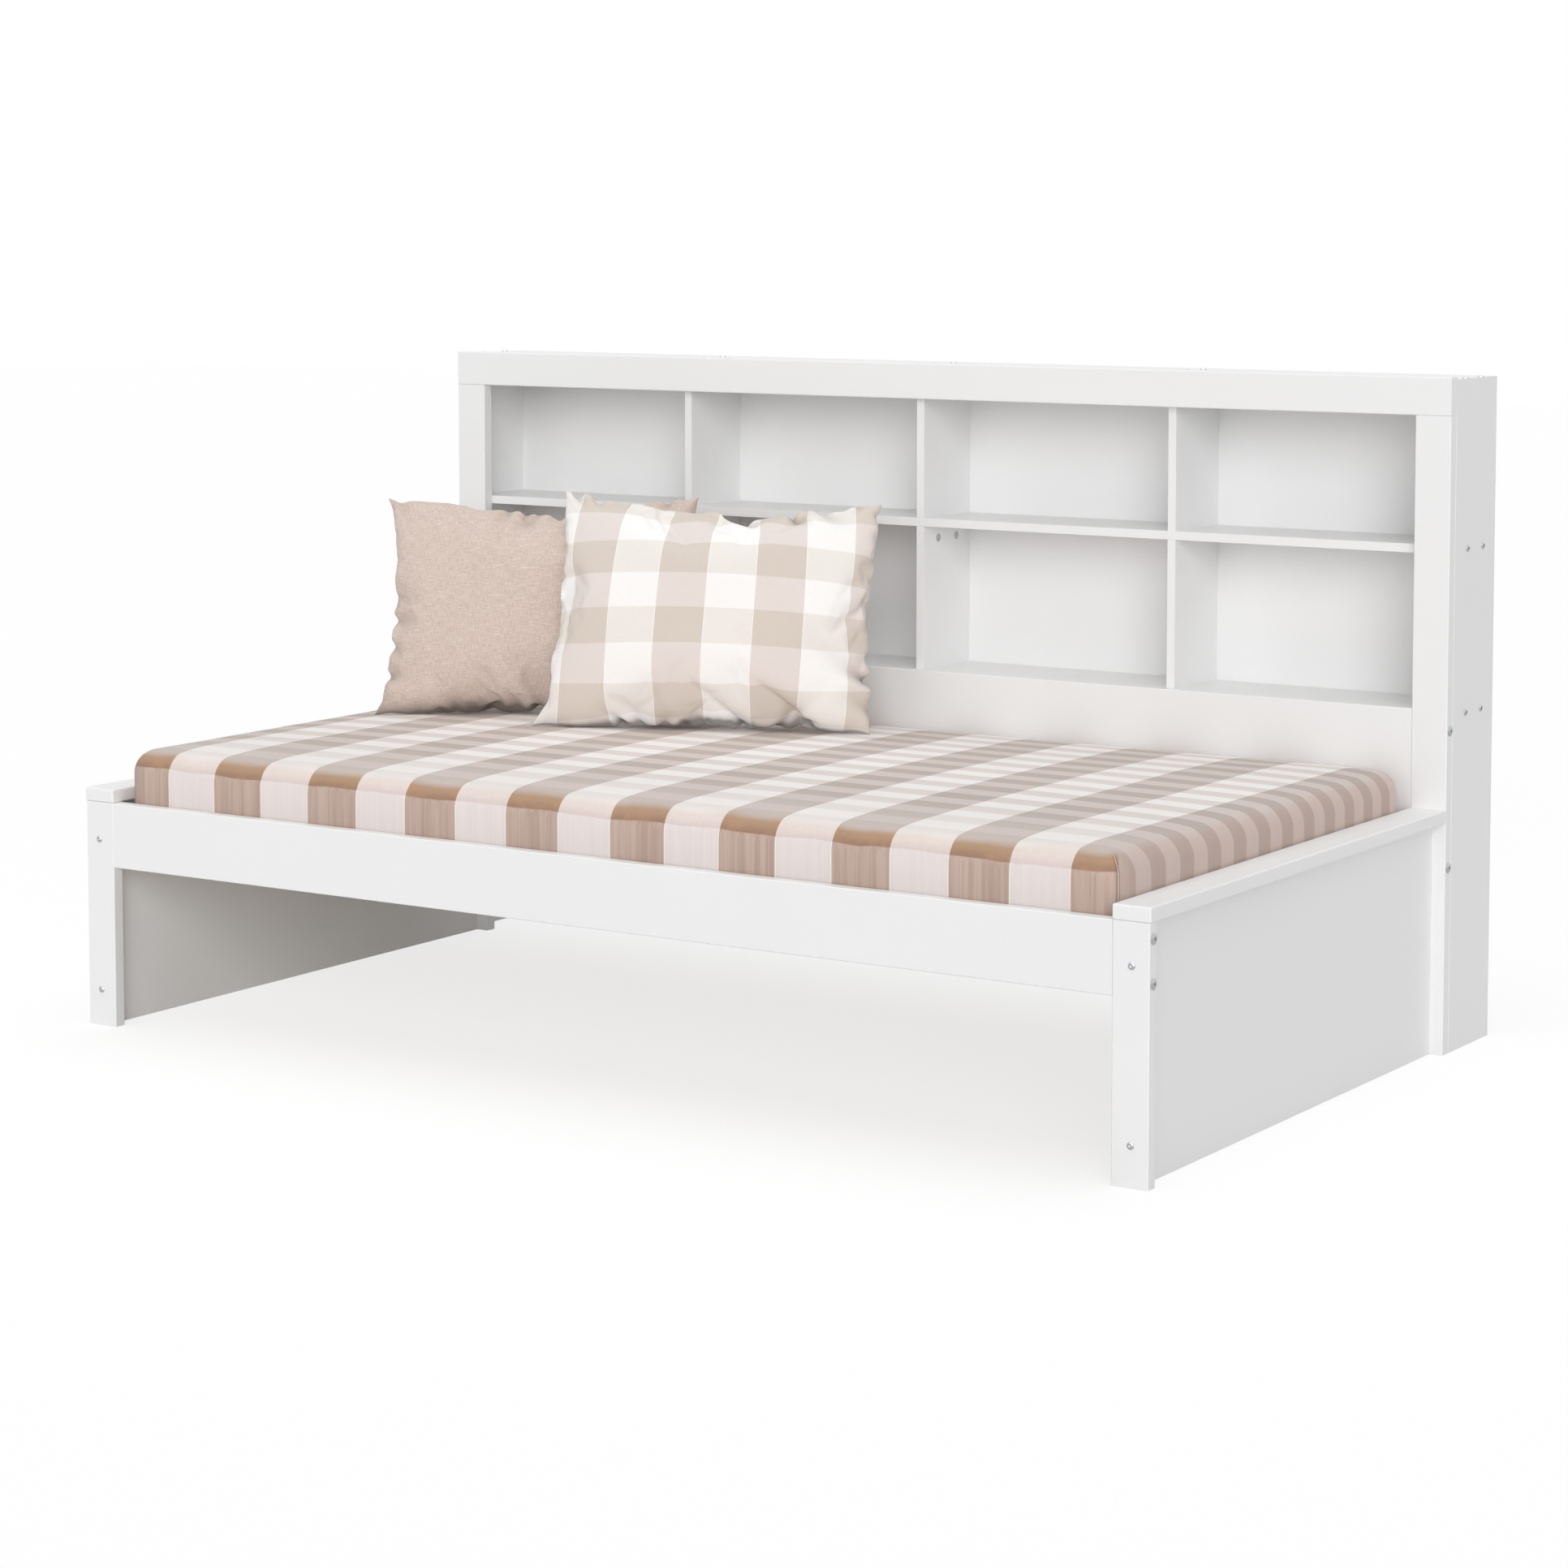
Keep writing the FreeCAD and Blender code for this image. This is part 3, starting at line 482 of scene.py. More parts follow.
def sheet_cotton():
    """Banded cotton sheet: wide bands front to back, narrow cross bands over the top."""
    shader = Shader("sheet_cotton", Roughness=0.82, Sheen_Weight=0.12, Sheen_Roughness=0.4,
                    Specular_IOR_Level=0.3)
    place = shader.object_place()
    x, y, z = shader.axes(place)
    dark_band, pale_cross, edge = sheet_bands(shader, x, y, place)
    # painted light: the dark cross bands grow paler towards the front of the top, as if lit more
    # there
    back = shader.minus(y, POSTS_FRONT)
    faint = shader.times(0.6, shader.inverse(shader.step(back, 0.08, 0.30)))
    pale_top = shader.math("MAXIMUM", pale_cross, faint)
    light = shader.mix(pale_top, srgb(228, 218, 213), srgb(247, 243, 240))
    dark = shader.mix(pale_top, srgb(190, 177, 169), srgb(214, 202, 196))
    top = shader.mix(dark_band, light, dark)

    # which side of the bed a place is on, and how far up
    from_side = shader.minus(BED_WIDTH / 2, shader.math("ABSOLUTE", shader.minus(y, BED_MIDDLE)))
    from_end = shader.minus(BED_LENGTH / 2, shader.math("ABSOLUTE", x))
    turn = math.radians(SEAM_TURN)
    corner_line = (1 - math.sin(turn)) / (1 - math.cos(turn))
    long_side = shader.math("GREATER_THAN", shader.math(
        "MULTIPLY_ADD", from_side, -corner_line, from_end), 0.0)
    end_side = shader.inverse(long_side)
    near_side = shader.math("LESS_THAN", from_side, TOP_ROUND * 1.05)
    wavy_z = shader.math("ADD", z, shader.spread(shader.noise(place, 9.0, 2.0), 0.0, 0.0060))
    under = shader.inverse(shader.step(wavy_z, ROUND_LOW, ROUND_HIGH))

    # the rounded edge of the long sides, warm and blotched
    blotch = shader.noise(shader.stretched(place, (1.0, 1.0, 1.6)), 30.0, 3.0)
    # the warm tone is the cloth's own; its darkening just above where the round meets the face,
    # lighter further up, is painted shade
    climb = shader.step(wavy_z, FACE_TOP, FACE_TOP + 0.016)
    brown = shader.mix(climb, srgb(160, 126, 106), srgb(178, 146, 120))
    rust = shader.times(shader.step(blotch, 0.42, 0.72), 0.5)
    brown = shader.mix(rust, brown, srgb(187, 149, 117))
    cream = shader.mix(climb, srgb(222, 206, 203), srgb(231, 218, 210))
    warm = shader.mix(dark_band, cream, brown)
    warm_share = shader.times(shader.times(long_side, near_side), under)
    colour = shader.mix(warm_share, top, warm)

    # the ends: the cross bands run down them, a little warmer than on top
    end_face = shader.mix(pale_cross, srgb(191, 171, 161), srgb(210, 192, 184))
    colour = shader.mix(shader.times(end_side, under), colour, end_face)

    below = shader.inverse(shader.step(wavy_z, FACE_TOP - 0.0008, FACE_TOP + 0.0010))
    face = sheet_long_face(shader, place, z, dark_band, edge)
    colour = shader.mix(shader.times(below, long_side), colour, face)
    colour = seam_shade(shader, colour, from_side, from_end, z)

    # threads, slight unevenness of the dye, drawn lines down the rounded edge
    grain = shader.noise(place, 700.0, 2.0)
    soft = shader.noise(place, 4.0, 3.0)
    drawn = shader.threads(place, (150.0, 150.0, 5.0), 2.0)
    colour = shader.uneven(colour, grain, 0.035)
    colour = shader.uneven(colour, soft, 0.02)
    sides = shader.inverse(shader.step(z, ROUND_LOW, ROUND_HIGH))
    lines = shader.times(sides, shader.spread(drawn, 0.0, 0.05))
    colour = shader.scaled(colour, shader.math("ADD", 1.0, lines))
    normal = shader.bump(soft, 0.004, 0.5)
    normal = shader.bump(grain, 0.0002, 0.6, normal)
    return shader.finish(colour, None, normal)


CHECK_COLUMN = 0.0885
CHECK_ROW = 0.0611
CHECK_COLUMN_MIDDLE = -0.050  # the middle of one dark column, from the pillow's middle
CHECK_ROW_MIDDLE = -0.0355
CHECK_ROW_BOW = (0.008, 0.186)  # how far the rows are drawn down, and where they are not
CHECK_ROW_FALL = (0.009, 0.270)  # how much lower they are towards the ends, and where
CHECK_LINE = 0.0014  # the pale line inside a light column's edges


def check_cotton():
    """Woven check in cream and oatmeal."""
    shader = Shader("pillow_checked_cloth", Roughness=0.88, Sheen_Weight=0.15,
                    Specular_IOR_Level=0.25)
    flat = shader.attribute("flat")
    u, v, _ = shader.axes(flat)
    from_column = shader.minus(u, CHECK_COLUMN_MIDDLE - CHECK_COLUMN / 2)
    across = shader.math("DIVIDE", from_column, CHECK_COLUMN)
    bow, still = CHECK_ROW_BOW
    drawn = shader.math("MULTIPLY_ADD", shader.times(v, v), bow / still ** 2, v)
    fall, end = CHECK_ROW_FALL
    drawn = shader.math("MULTIPLY_ADD", shader.times(u, u), fall / end ** 2, drawn)
    from_row = shader.minus(drawn, bow + CHECK_ROW_MIDDLE - CHECK_ROW / 2)
    up = shader.math("DIVIDE", from_row, CHECK_ROW)
    column = shader.alternate(across, 0.004)
    row = shader.alternate(up, 0.006)
    light = shader.mix(row, srgb(250, 248, 246), srgb(239, 234, 229))
    dark = shader.mix(row, srgb(231, 221, 216), srgb(218, 207, 197))
    in_column = shader.math("FRACT", across)
    edge = shader.math("MINIMUM", in_column, shader.inverse(in_column))
    line = shader.inverse(shader.step(
        edge, 0.7 * CHECK_LINE / CHECK_COLUMN, 1.3 * CHECK_LINE / CHECK_COLUMN))
    light = shader.mix(shader.times(line, 0.6), light, srgb(254, 253, 251))
    colour = shader.mix(column, light, dark)
    warp = shader.threads(flat, (900.0, 60.0, 1.0), 1.0)
    weft = shader.threads(flat, (60.0, 900.0, 1.0), 1.0)
    grain = shader.times(shader.math("ADD", warp, weft), 0.5)
    colour = shader.uneven(colour, grain, 0.05)
    colour = shader.creased(colour)
    crumple = shader.threads(flat, (11.0, 14.0, 1.0), 3.0, 0.6)
    normal = shader.bump(crumple, 0.006, 0.35)
    return shader.finish(colour, None, shader.bump(grain, 0.0003, 0.6, normal))


def linen():
    """Slubby plain linen: uneven threads both ways."""
    shader = Shader("pillow_linen_cloth", Roughness=0.92, Sheen_Weight=0.2,
                    Specular_IOR_Level=0.2)
    flat = shader.attribute("flat")
    weft = shader.threads(flat, (45.0, 820.0, 1.0), 3.0, 0.65)
    warp = shader.threads(flat, (820.0, 70.0, 1.0), 3.0, 0.65)
    fleck = shader.threads(flat, (520.0, 620.0, 1.0), 1.0)
    slub = shader.step(shader.threads(flat, (18.0, 560.0, 1.0), 1.0), 0.66, 0.74)
    threads = shader.times(shader.math("ADD", weft, warp), 0.5)
    colour = shader.mix(shader.step(threads, 0.38, 0.62), srgb(203, 184, 173), srgb(227, 211, 201))
    colour = shader.mix(shader.times(slub, 0.8), colour, srgb(238, 226, 218))
    colour = shader.uneven(colour, fleck, 0.14)
    speck = shader.step(shader.threads(flat, (430.0, 520.0, 1.0), 0.0), 0.66, 0.76)
    colour = shader.creased(shader.darker(colour, speck, 0.26))
    height = shader.math("ADD", threads, shader.times(fleck, 0.6))
    crumple = shader.threads(flat, (9.0, 12.0, 1.0), 3.0, 0.6)
    normal = shader.bump(crumple, 0.006, 0.35)
    return shader.finish(colour, None, shader.bump(height, 0.0006, 0.8, normal))


def dress_nodes(paint, steel):
    """Finishes for the pieces that keep their own shape."""
    along_x = bare_wood("bare_wood_long", 0, (222, 190, 146), (196, 156, 108), 1.0)
    along_y = bare_wood("bare_wood_slat", 1, (226, 196, 152), (203, 165, 118), 1.0)
    dowel = bare_wood("dowel_wood", 2, (214, 184, 142), (190, 156, 114), 1.6)
    tape = webbing()
    slots = {item["node"]: item["material_slot"] for item in frame["record"]["subparts"]}
    for name, piece in frame["nodes"].items():
        finish = {
            "white_paint": paint,
            "plated_steel": steel,
            "dowel_wood": dowel,
            "webbing": tape,
            "bare_wood": along_x if name.startswith("ledger") else along_y,
        }.get(slots[name])
        if finish is None:
            continue
        piece.data.materials.clear()
        piece.data.materials.append(finish)


# --- meshes ---
def mesh_object(name, points, faces, material, smooth=True):
    mesh = bpy.data.meshes.new(name)
    mesh.from_pydata([tuple(point) for point in points], [], faces)
    mesh.update()
    mesh.materials.append(material)
    if smooth:
        mesh.shade_smooth()
    piece = bpy.data.objects.new(name, mesh)
    bpy.context.scene.collection.objects.link(piece)
    return piece


def ring_faces(low, high, count):
    """The faces between two rings of points, which start at the given places in the list."""
    faces = []
    for step in range(count):
        following = (step + 1) % count
        faces.append((low + step, low + following, high + following, high + step))
    return faces


def crown_height(inset):
    """How high the bedding's top is at a distance in from its sides."""
    past = max(inset - TOP_ROUND, 0.0)
    share = min(past / (BED_WIDTH / 2 - TOP_ROUND), 1.0)
    slow = 0.625 * CROWN * (1 - share) ** 1.8
    fast = 0.375 * CROWN * math.exp(-past / 0.025)
    return BED_EDGE_TOP + CROWN - slow - fast


def top_of_bed(x, y):
    """The sheet's upper surface at a place well inside the bed."""
    inset = min(BED_LENGTH / 2 - abs(x), BED_WIDTH / 2 - abs(y - BED_MIDDLE))
    return crown_height(max(inset, TOP_ROUND))


def bed_profile(tuck):
    """(inset, height) pairs up the bedding's side, from underneath to the middle of the top."""
    profile = [(tuck - (tuck - BOTTOM_ROUND) * step / 6, BED_BOTTOM) for step in range(6)]
    for step in range(7):
        turn = math.pi / 2 * step / 6
        profile.append((BOTTOM_ROUND * (1 - math.sin(turn)),
                        BED_BOTTOM + BOTTOM_ROUND * (1 - math.cos(turn))))
    wall_low = BED_BOTTOM + BOTTOM_ROUND
    wall_high = BED_EDGE_TOP - TOP_ROUND
    profile += [(0.0, wall_low + (wall_high - wall_low) * step / 8) for step in range(1, 8)]
    for step in range(11):
        turn = math.pi / 2 * step / 10
        profile.append((TOP_ROUND * (1 - math.cos(turn)), wall_high + TOP_ROUND * math.sin(turn)))
    reach = BED_WIDTH / 2 - TOP_ROUND
    rings = 26
    for step in range(1, rings + 1):
        inset = TOP_ROUND + reach * (step / rings) ** 1.5
        profile.append((inset, crown_height(inset)))
    return profile


def bed_ring(inset, shrink=0.0):
    """Points around a rounded rectangle, the same number whatever its size."""
    long_steps, short_steps, arc_steps = RING_STEPS
    half_x = BED_LENGTH / 2 - inset - shrink
    half_y = BED_WIDTH / 2 - inset - shrink
    radius = min(max(BED_CORNER - inset, 0.006), half_x, max(half_y, 0.0))
    points = []
    corners = ((1, -1, -90), (1, 1, 0), (-1, 1, 90), (-1, -1, 180))

    def on_arc(corner, degrees):
        turn = math.radians(degrees)
        return (corner[0] * (half_x - radius) + radius * math.cos(turn),
                corner[1] * (half_y - radius) + radius * math.sin(turn))

    for number, corner in enumerate(corners):
        for step in range(arc_steps + 1):
            points.append(on_arc(corner, corner[2] + 90 * step / arc_steps))
        following = corners[(number + 1) % 4]
        ends = (points[-1], on_arc(following, following[2]))
        steps = short_steps if number % 2 == 0 else long_steps
        for step in range(1, steps):
            share = step / steps
            points.append(tuple(low + (high - low) * share for low, high in zip(*ends)))
    return points


def bed_shell(name, profile, shrink, material):
    """A skin over the bedding's shape, drawn in by shrink all round, its top slightly rippled."""
    middle = (BED_BOTTOM + BED_EDGE_TOP) / 2
    points = []
    for inset, height in profile:
        level = height + math.copysign(shrink, middle - height)
        for x, y in bed_ring(inset, shrink):
            place = Vector((x, y + BED_MIDDLE, level))
            if inset > RIPPLE_START and height > BED_EDGE_TOP - TOP_ROUND:
                grown = min((inset - RIPPLE_START) / RIPPLE_GROWTH, 1.0)
                ripple = noise.noise(place * 6.5) * 0.6 + noise.noise(place * 17.0) * 0.25
                place.z += RIPPLE * grown * ripple
            points.append(place)
    count = len(points) // len(profile)
    faces = []
    for ring in range(len(profile) - 1):
        faces += ring_faces(ring * count, (ring + 1) * count, count)
    return joined(mesh_object(name, points, faces, material))


def joined(piece):
    """Merges points that coincide and turns every face outwards."""
    shape = bmesh.new()
    shape.from_mesh(piece.data)
    bmesh.ops.remove_doubles(shape, verts=shape.verts, dist=0.00005)
    bmesh.ops.recalc_face_normals(shape, faces=shape.faces)
    shape.to_mesh(piece.data)
    shape.free()
    piece.data.shade_smooth()
    return piece


def strips(name, paths, closed, half_wide, half_high, material):
    """Thin rounded strips; each path is a list of (place, direction across, direction up)."""
    points = []
    faces = []
    sides = 8
    for path in paths:
        start = len(points)
        for place, across, up in path:
            for step in range(sides):
                turn = 2 * math.pi * step / sides
                points.append(place + across * (half_wide * math.cos(turn))
                              + up * (half_high * math.sin(turn)))
        for ring in range(len(path) if closed else len(path) - 1):
            following = (ring + 1) % len(path)
            faces += ring_faces(start + ring * sides, start + following * sides, sides)
        if not closed:
            faces.append(tuple(range(start, start + sides)))
            faces.append(tuple(range(len(points) - sides, len(points))))
    return joined(mesh_object(name, points, faces, material))


def make_corner_seams(material):
    """The sheet's four corner seams, standing slightly proud, up the sides and over the round."""
    upright = Vector((0.0, 0.0, 1.0))
    turn = math.radians(SEAM_TURN)
    wall_high = BED_EDGE_TOP - TOP_ROUND
    paths = []
    for side_x in (-1, 1):
        for side_y in (-1, 1):
            outward = Vector((side_x * math.sin(turn), side_y * math.cos(turn), 0.0))
            across = outward.cross(upright)
            centre = Vector((side_x * (BED_LENGTH / 2 - BED_CORNER),
                             BED_MIDDLE + side_y * (BED_WIDTH / 2 - BED_CORNER), 0.0))
            path = []
            for step in range(13):
                height = SEAM_LOW + (wall_high - SEAM_LOW) * step / 12
                path.append((centre + outward * BED_CORNER + upright * height, across, outward))
            for step in range(1, 8):
                tilt = math.radians(8.0 * step)
                reach = BED_CORNER - TOP_ROUND * (1 - math.cos(tilt))
                normal = outward * math.cos(tilt) + upright * math.sin(tilt)
                height = wall_high + TOP_ROUND * math.sin(tilt) - 0.0001 * step
                path.append((centre + outward * reach + upright * height, across, normal))
            paths.append(path)
    return strips("sheet_corner_seams", paths, False, SEAM_HALF, SEAM_HALF * 0.8, material)


def make_hem(material):
    """The elastic hem around the sheet's opening, underneath the mattress."""
    path = []
    rings = zip(bed_ring(SHEET_TUCK), bed_ring(SHEET_TUCK + 0.001))
    for number, ((x, y), inner) in enumerate(rings):
        across = Vector((inner[0] - x, inner[1] - y, 0.0)).normalized()
        wave = 0.0012 * math.sin(1.9 * number) + 0.0008 * math.sin(0.83 * number)
        place = Vector((x, y + BED_MIDDLE, BED_BOTTOM + 0.0011)) + across * wave
        path.append((place, across, Vector((0.0, 0.0, 1.0))))
    return strips("sheet_hem", [path], True, HEM_HALF, 0.0009, material)


def make_mattress(material):
    """The mattress inside the sheet: quilted cloth, closed underneath."""
    profile = bed_profile(BED_WIDTH / 2 - 0.002)
    return bed_shell("mattress_pad", profile, PAD_SHRINK, material)


def make_sheet(material):
    """The fitted sheet: one skin over top and sides, tucked in underneath."""
    piece = bed_shell("banded_sheet", bed_profile(SHEET_TUCK), 0.0, material)
    thick = piece.modifiers.new("thickness", "SOLIDIFY")
    thick.thickness = SHEET_THICKNESS
    thick.offset = -1.0
    return piece


def flat_pillow(name, width, height, bulge, columns, rows, material):
    """Two layers of cloth laid on each other and joined all round, slightly apart inside.

    Their sides curve out a little, so that the stuffed pillow's are only slightly drawn in.
    """
    points = []
    flats = []
    index = {}
    for side in (-1, 1):
        for column in range(columns + 1):
            for row in range(rows + 1):
                rim = column in (0, columns) or row in (0, rows)
                if rim and (0, column, row) in index:
                    continue
                u = column / columns * 2 - 1
                v = row / rows * 2 - 1
                gap = CUT_GAP * (1 - u ** 4) * (1 - v ** 4)
                wide = bulge[0] if u < 0 else bulge[1]
                place = Vector((u * (width / 2 + wide * (1 - v ** 2)), side * gap,
                                v * (height / 2 + bulge[2] * (1 - u ** 2))))
                index[(0 if rim else side, column, row)] = len(points)
                points.append(place)
                flats.append((place.x, place.z, 0.0 if rim else side))
    faces = []
    for side in (-1, 1):
        for column in range(columns):
            for row in range(rows):
                ring = []
                for c, r in ((column, row), (column + 1, row), (column + 1, row + 1),
                             (column, row + 1)):
                    rim = c in (0, columns) or r in (0, rows)
                    ring.append(index[(0 if rim else side, c, r)])
                faces.append(tuple(ring if side < 0 else reversed(ring)))
    piece = mesh_object(name, points, faces, material)
    flat = piece.data.attributes.new("flat", "FLOAT_VECTOR", "POINT")
    flat.data.foreach_set("vector", np.array(flats, np.float32).ravel())
    corners = [index[(0, c, r)] for c, r in ((0, 0), (columns, 0), (columns, rows), (0, rows))]
    return piece, corners


def inflate(piece, seed):
    """Fills the joined cloth with air until its edges pucker, and keeps the result."""
    noise.seed_set(seed)  # noise_vector differs from run to run without it
    for vertex in piece.data.vertices:
        shake = noise.noise_vector(vertex.co * 14.0 + Vector((seed, 0.0, 0.0)))
        vertex.co.y += BLOW_SHAKE * shake.y
    cloth = piece.modifiers.new("Cloth", "CLOTH")
    for name, value in CLOTH.items():
        setattr(cloth.settings, name, value)
    cloth.settings.effector_weights.gravity = 0
    cloth.collision_settings.use_collision = False
    scene = bpy.context.scene
    for timed in (cloth.point_cache, scene):
        timed.frame_start = 1
        timed.frame_end = BLOW_FRAMES
    for number in range(1, BLOW_FRAMES + 1):
        scene.frame_set(number)
    depsgraph = bpy.context.evaluated_depsgraph_get()
    blown = piece.evaluated_get(depsgraph).to_mesh()
    places = np.zeros(len(blown.vertices) * 3)
    blown.vertices.foreach_get("co", places)
    piece.evaluated_get(depsgraph).to_mesh_clear()
    piece.modifiers.remove(cloth)
    scene.frame_set(1)
    piece.data.vertices.foreach_set("co", places)
    piece.data.update()
    return places.reshape(-1, 3)


def corner_fit(places, corners, targets):
    """Moves the pillow in its own plane so that its four corners lie where they should."""
    found = [places[index] for index in corners]
    low_x = (found[0][0] + found[3][0]) / 2
    high_x = (found[1][0] + found[2][0]) / 2
    low_z = (found[0][2] + found[1][2]) / 2
    high_z = (found[2][2] + found[3][2]) / 2
    u = (places[:, 0] - low_x) / (high_x - low_x)
    v = (places[:, 2] - low_z) / (high_z - low_z)
    weights = ((1 - u) * (1 - v), u * (1 - v), u * v, (1 - u) * v)
    fitted = places.copy()
    for axis, picked in ((0, 0), (2, 1)):
        fitted[:, axis] = sum(weight * to[picked] for weight, to in zip(weights, targets))
    return fitted


def bell(distance, reach):
    """1 at no distance, almost nothing at twice the reach, smooth between."""
    return np.exp(-(distance / reach) ** 2)


def pinch(places, shade, cut, half, edge, share, depth, width, reach, slant, groove):
    """One gather at the seam: the edge drawn in, and a crease running inwards between folds."""
    across, sign = EDGES[edge]
    inward = np.maximum(half[across] + sign * cut[:, across], 0.0)
    along = cut[:, 1 - across] + (1 - 2 * share) * half[1 - across]
    offset = along - slant * inward
    spread = width * (1 + 1.3 * inward / reach)
    fade = bell(inward, reach)
    crease = bell(offset, spread) * fade
    folds = bell(offset, 2.2 * spread) * fade - crease
    pull = depth * (crease - 0.5 * folds) * np.exp(-inward / reach)
    places[:, 2 * across] += sign * pull
    places[:, 1] *= 1 - groove * crease + 0.35 * groove * folds
    # painted shade in the crease, darker the deeper the crease
    shade += groove * crease ** 2 * np.exp(-inward / reach)


def gather(places, shade, cut, half, facts):
    """The seam of a stuffed pillow: thin corners, gathers along the sides, a wandering line."""
    ends = ((-1, -1), (-1, 1), (1, -1), (1, 1))
    point, point_reach = CORNER_POINT
    thin, thin_reach = CORNER_THIN
    for (side_u, side_v), ear in zip(ends, facts["ears"]):
        from_u = half[0] - side_u * cut[:, 0]
        from_v = half[1] - side_v * cut[:, 1]
        far = np.hypot(from_u, from_v)
        apart = (from_u - from_v) / 2 * point * bell(far, point_reach)
        places[:, 0] += side_u * (apart + ear * bell(far, EAR_REACH))
        places[:, 2] -= side_v * apart
        places[:, 1] *= 1 - thin * bell(far, thin_reach)
    rng = random.Random(facts["seed"])
    length = 2 * half[1]
    for edge in ("left", "right"):
        at = rng.uniform(*FIRST_GATHER)
        while at < length - LAST_GATHER:
            drawn = [rng.uniform(*limits) for limits in (facts["seam_gathers"], *GATHER_SHAPE)]
            pinch(places, shade, cut, half, edge, at / length, *drawn)
            at += rng.uniform(*GATHER_STEP)
    for one in facts["gathers"]:
        pinch(places, shade, cut, half, *one)
    to_edge = np.minimum(half[0] - np.abs(cut[:, 0]), half[1] - np.abs(cut[:, 1]))
    stray, stray_reach = SEAM_WANDER
    wave = np.sin(cut[:, 0] * 71 + facts["seed"]) + np.sin(cut[:, 1] * 118 + facts["seed"])
    places[:, 1] += stray * bell(np.maximum(to_edge, 0.0), stray_reach) * wave


def settle(places):
    """Lets the pillow sink onto the bed: its underside flattens where it rests."""
    settled = places.copy()
    settled[:, 2] -= settled[:, 2].min()
    along = settled[:, 0]
    bins = np.linspace(along.min(), along.max(), 25)
    middles = (bins[:-1] + bins[1:]) / 2
    under = []
    for low, high in zip(bins[:-1], bins[1:]):
        inside = (along >= low) & (along <= high)
        under.append(settled[inside, 2].min())
    under = np.array(under)
    for _ in range(3):
        padded = np.concatenate(([under[0]], under, [under[-1]]))
        under = (padded[:-2] + 2 * padded[1:-1] + padded[2:]) / 4
    sag = np.interp(along, middles, under)
    hold = np.clip(1 - settled[:, 2] / GIVE_HEIGHT, 0, 1)
    settled[:, 2] -= sag * hold * hold * (3 - 2 * hold)
    return settled


def keep_shade(piece, shade, above, contact):
    """Keeps the cloth's painted shade: darker where it is gathered, and up to a height above its
    foot.
    """
    amount, rise = contact
    shade = shade + (amount * bell(above, rise) + FOOT_SHADE_LINE[0] * bell(above, FOOT_SHADE_LINE[1]))
    dark = piece.data.attributes.new("shade", "FLOAT", "POINT")
    dark.data.foreach_set("value", np.clip(shade, 0, 0.75).astype(np.float32))


def stand_on_bed(piece, places, facts):
    """Leans the pillow back, turns it and sets it on the sheet, which it doesn't go into."""
    lean = math.radians(PILLOW_LEAN)
    leaning = places.copy()
    leaning[:, 1] = places[:, 1] * math.cos(lean) + places[:, 2] * math.sin(lean)
    leaning[:, 2] = places[:, 2] * math.cos(lean) - places[:, 1] * math.sin(lean)
    places = settle(leaning)
    yaw = math.radians(facts["yaw"])
    x = facts["corner"][0] + places[:, 0] * math.cos(yaw) - places[:, 1] * math.sin(yaw)
    y = facts["corner"][1] + places[:, 0] * math.sin(yaw) + places[:, 1] * math.cos(yaw)
    for vertex, px, py, pz in zip(piece.data.vertices, x, y, places[:, 2]):
        bed_top = top_of_bed(px, py)
        share = max(1 - pz / FOLLOW_HEIGHT, 0.0)
        level = BED_EDGE_TOP + CROWN + pz
        level -= share * (BED_EDGE_TOP + CROWN - bed_top)
        vertex.co = Vector((px, py, max(level, bed_top + PILLOW_CLEARANCE)))
    piece.data.update()


def make_pillow(kind, material):
    """A stuffed pillow standing on its long side, leaning back."""
    facts = PILLOWS[kind]
    height = facts["height"]
    cut_width = PILLOW_WIDTH * (1 + CUT_EXTRA[0])
    cut_height = height * (1 + CUT_EXTRA[1])
    piece, corners = flat_pillow(
        "pillow_" + kind + "_cloth", cut_width, cut_height, facts["cut_bulge"],
        round(cut_width / CUT_SPACING), round(cut_height / CUT_SPACING), material)
    cut = np.array([(vertex.co.x, vertex.co.z) for vertex in piece.data.vertices])
    half = (cut_width / 2, cut_height / 2)
    places = inflate(piece, facts["seed"])
    left, right = facts["side_in"][0], PILLOW_WIDTH - facts["side_in"][1]
    shift = facts["top_shift"]
    places = corner_fit(places, corners, (
        (left, 0.0), (right, 0.0),
        (right - PILLOW_TOP_NARROWING + shift, height + facts["lift"][1]),
        (left + PILLOW_TOP_NARROWING + shift, height + facts["lift"][0])))
    places[:, 1] *= PILLOW_THICKNESS / (places[:, 1].max() - places[:, 1].min())
    shade = np.zeros(len(places))
    gather(places, shade, cut, half, facts)
    keep_shade(piece, shade, np.maximum(half[1] + cut[:, 1], 0.0), facts["contact"])
    stand_on_bed(piece, places, facts)
    smooth = piece.modifiers.new("rounding", "SUBSURF")
    smooth.levels = 1
    smooth.render_levels = 1
    return piece


# --- the setting ---
def set_camera():
    data = bpy.data.cameras.new("camera")
    data.lens = CAMERA_LENS
    data.sensor_width = 36.0
    data.sensor_fit = "HORIZONTAL"
    data.shift_y = CAMERA_SHIFT
    data.clip_end = 100.0
    camera = bpy.data.objects.new("camera", data)
    camera.location = CAMERA_PLACE
    camera.rotation_euler = Euler((math.radians(90 - CAMERA_PITCH), 0, math.radians(CAMERA_YAW)))
    bpy.context.scene.collection.objects.link(camera)
    bpy.context.scene.camera = camera


def add_sun(name, direction, strength, spread):
    data = bpy.data.lights.new(name, "SUN")
    data.energy = strength
    data.angle = math.radians(spread)
    lamp = bpy.data.objects.new(name, data)
    lamp.rotation_euler = Vector(direction).to_track_quat("Z", "Y").to_euler()
    bpy.context.scene.collection.objects.link(lamp)


def grey(share):
    return (share, share, share, 1.0)


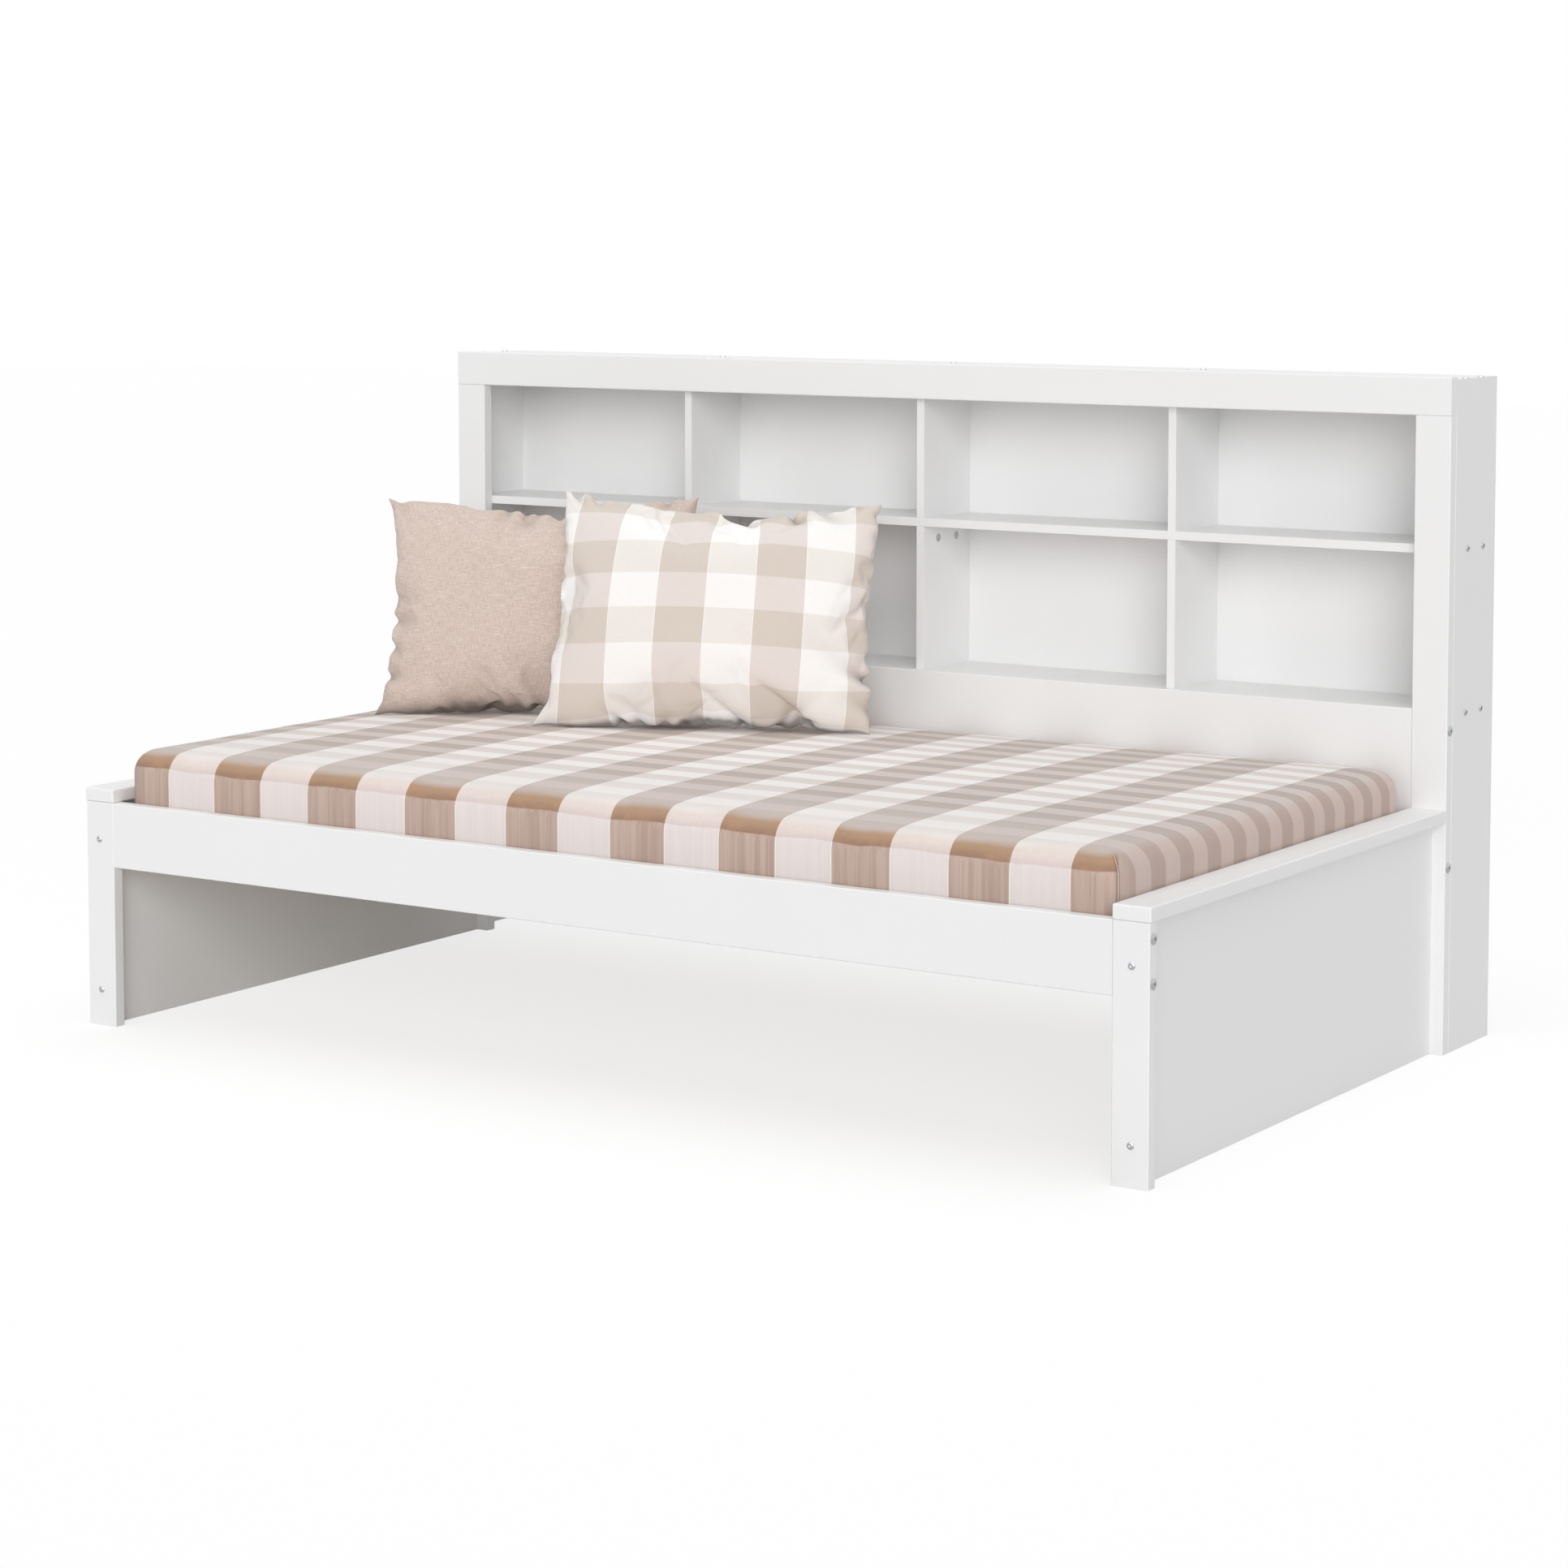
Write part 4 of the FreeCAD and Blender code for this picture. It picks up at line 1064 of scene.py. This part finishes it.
def set_light():
    """A broad soft lamp at the front right, one overhead, a weak one ahead, and a grey sky.

    The sky is white to the camera and in reflections, and grey as a light.
    """
    world = bpy.data.worlds.new("studio")
    bpy.context.scene.world = world
    world.use_nodes = True
    tree = world.node_tree
    link = tree.links.new
    background = tree.nodes["Background"]
    background.inputs["Color"].default_value = grey(SKY)
    seen = tree.nodes.new("ShaderNodeBackground")
    seen.inputs["Color"].default_value = grey(1.0)
    rays = tree.nodes.new("ShaderNodeLightPath")
    share = rays.outputs["Is Camera Ray"]
    for kind in ("Is Glossy Ray", "Is Transmission Ray"):
        either = tree.nodes.new("ShaderNodeMath")
        either.operation = "MAXIMUM"
        link(share, either.inputs[0])
        link(rays.outputs[kind], either.inputs[1])
        share = either.outputs[0]
    mix = tree.nodes.new("ShaderNodeMixShader")
    link(share, mix.inputs[0])
    link(background.outputs[0], mix.inputs[1])
    link(seen.outputs[0], mix.inputs[2])
    link(mix.outputs[0], tree.nodes["World Output"].inputs["Surface"])
    for name, (direction, strength, spread) in LAMPS.items():
        add_sun(name, direction, strength * math.pi, spread)


def set_floor():
    """A pale plain floor that shows white and keeps the bed's shadow."""
    shader = Shader("floor", Base_Color=grey(FLOOR_BOUNCE), Roughness=0.9,
                    Specular_IOR_Level=0.0)
    link = shader.tree.links.new
    added = shader.node("ShaderNodeAddShader")
    link(shader.fed("ShaderNodeBsdfDiffuse", Color=grey(FLOOR_PALE)), added.inputs[0])
    link(shader.fed("ShaderNodeEmission", Strength=FLOOR_GLOW), added.inputs[1])
    mix = shader.node("ShaderNodeMixShader")
    rays = shader.node("ShaderNodeLightPath")
    link(rays.outputs["Is Camera Ray"], mix.inputs[0])
    link(shader.surface.outputs[0], mix.inputs[1])
    link(added.outputs[0], mix.inputs[2])
    link(mix.outputs[0], shader.tree.nodes["Material Output"].inputs["Surface"])
    reach = 20.0
    points = [(-reach, -reach, 0), (reach, -reach, 0), (reach, reach, 0), (-reach, reach, 0)]
    floor = mesh_object("floor", points, [(0, 1, 2, 3)], shader.material, smooth=False)
    floor.location.z = -0.0005


# --- the whole scene ---
def main():
    bpy.context.scene.view_settings.view_transform = "Standard"
    set_camera()
    set_light()
    set_floor()
    dress_nodes(white_paint(), plated_steel())

    pad = make_mattress(ticking())
    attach(pad, "mattress")
    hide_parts("mattress")

    cotton = sheet_cotton()
    sheet = make_sheet(cotton)
    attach(sheet, "mattress")
    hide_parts("fitted_sheet")
    edgings = [make_corner_seams(cotton), make_hem(cotton)]
    for edging in edgings:
        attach(edging, "mattress")

    for kind, cloth in (("linen", linen()), ("checked", check_cotton())):
        pillow = make_pillow(kind, cloth)
        body = "pillow_" + kind
        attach(pillow, body)
        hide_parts(body)


main()
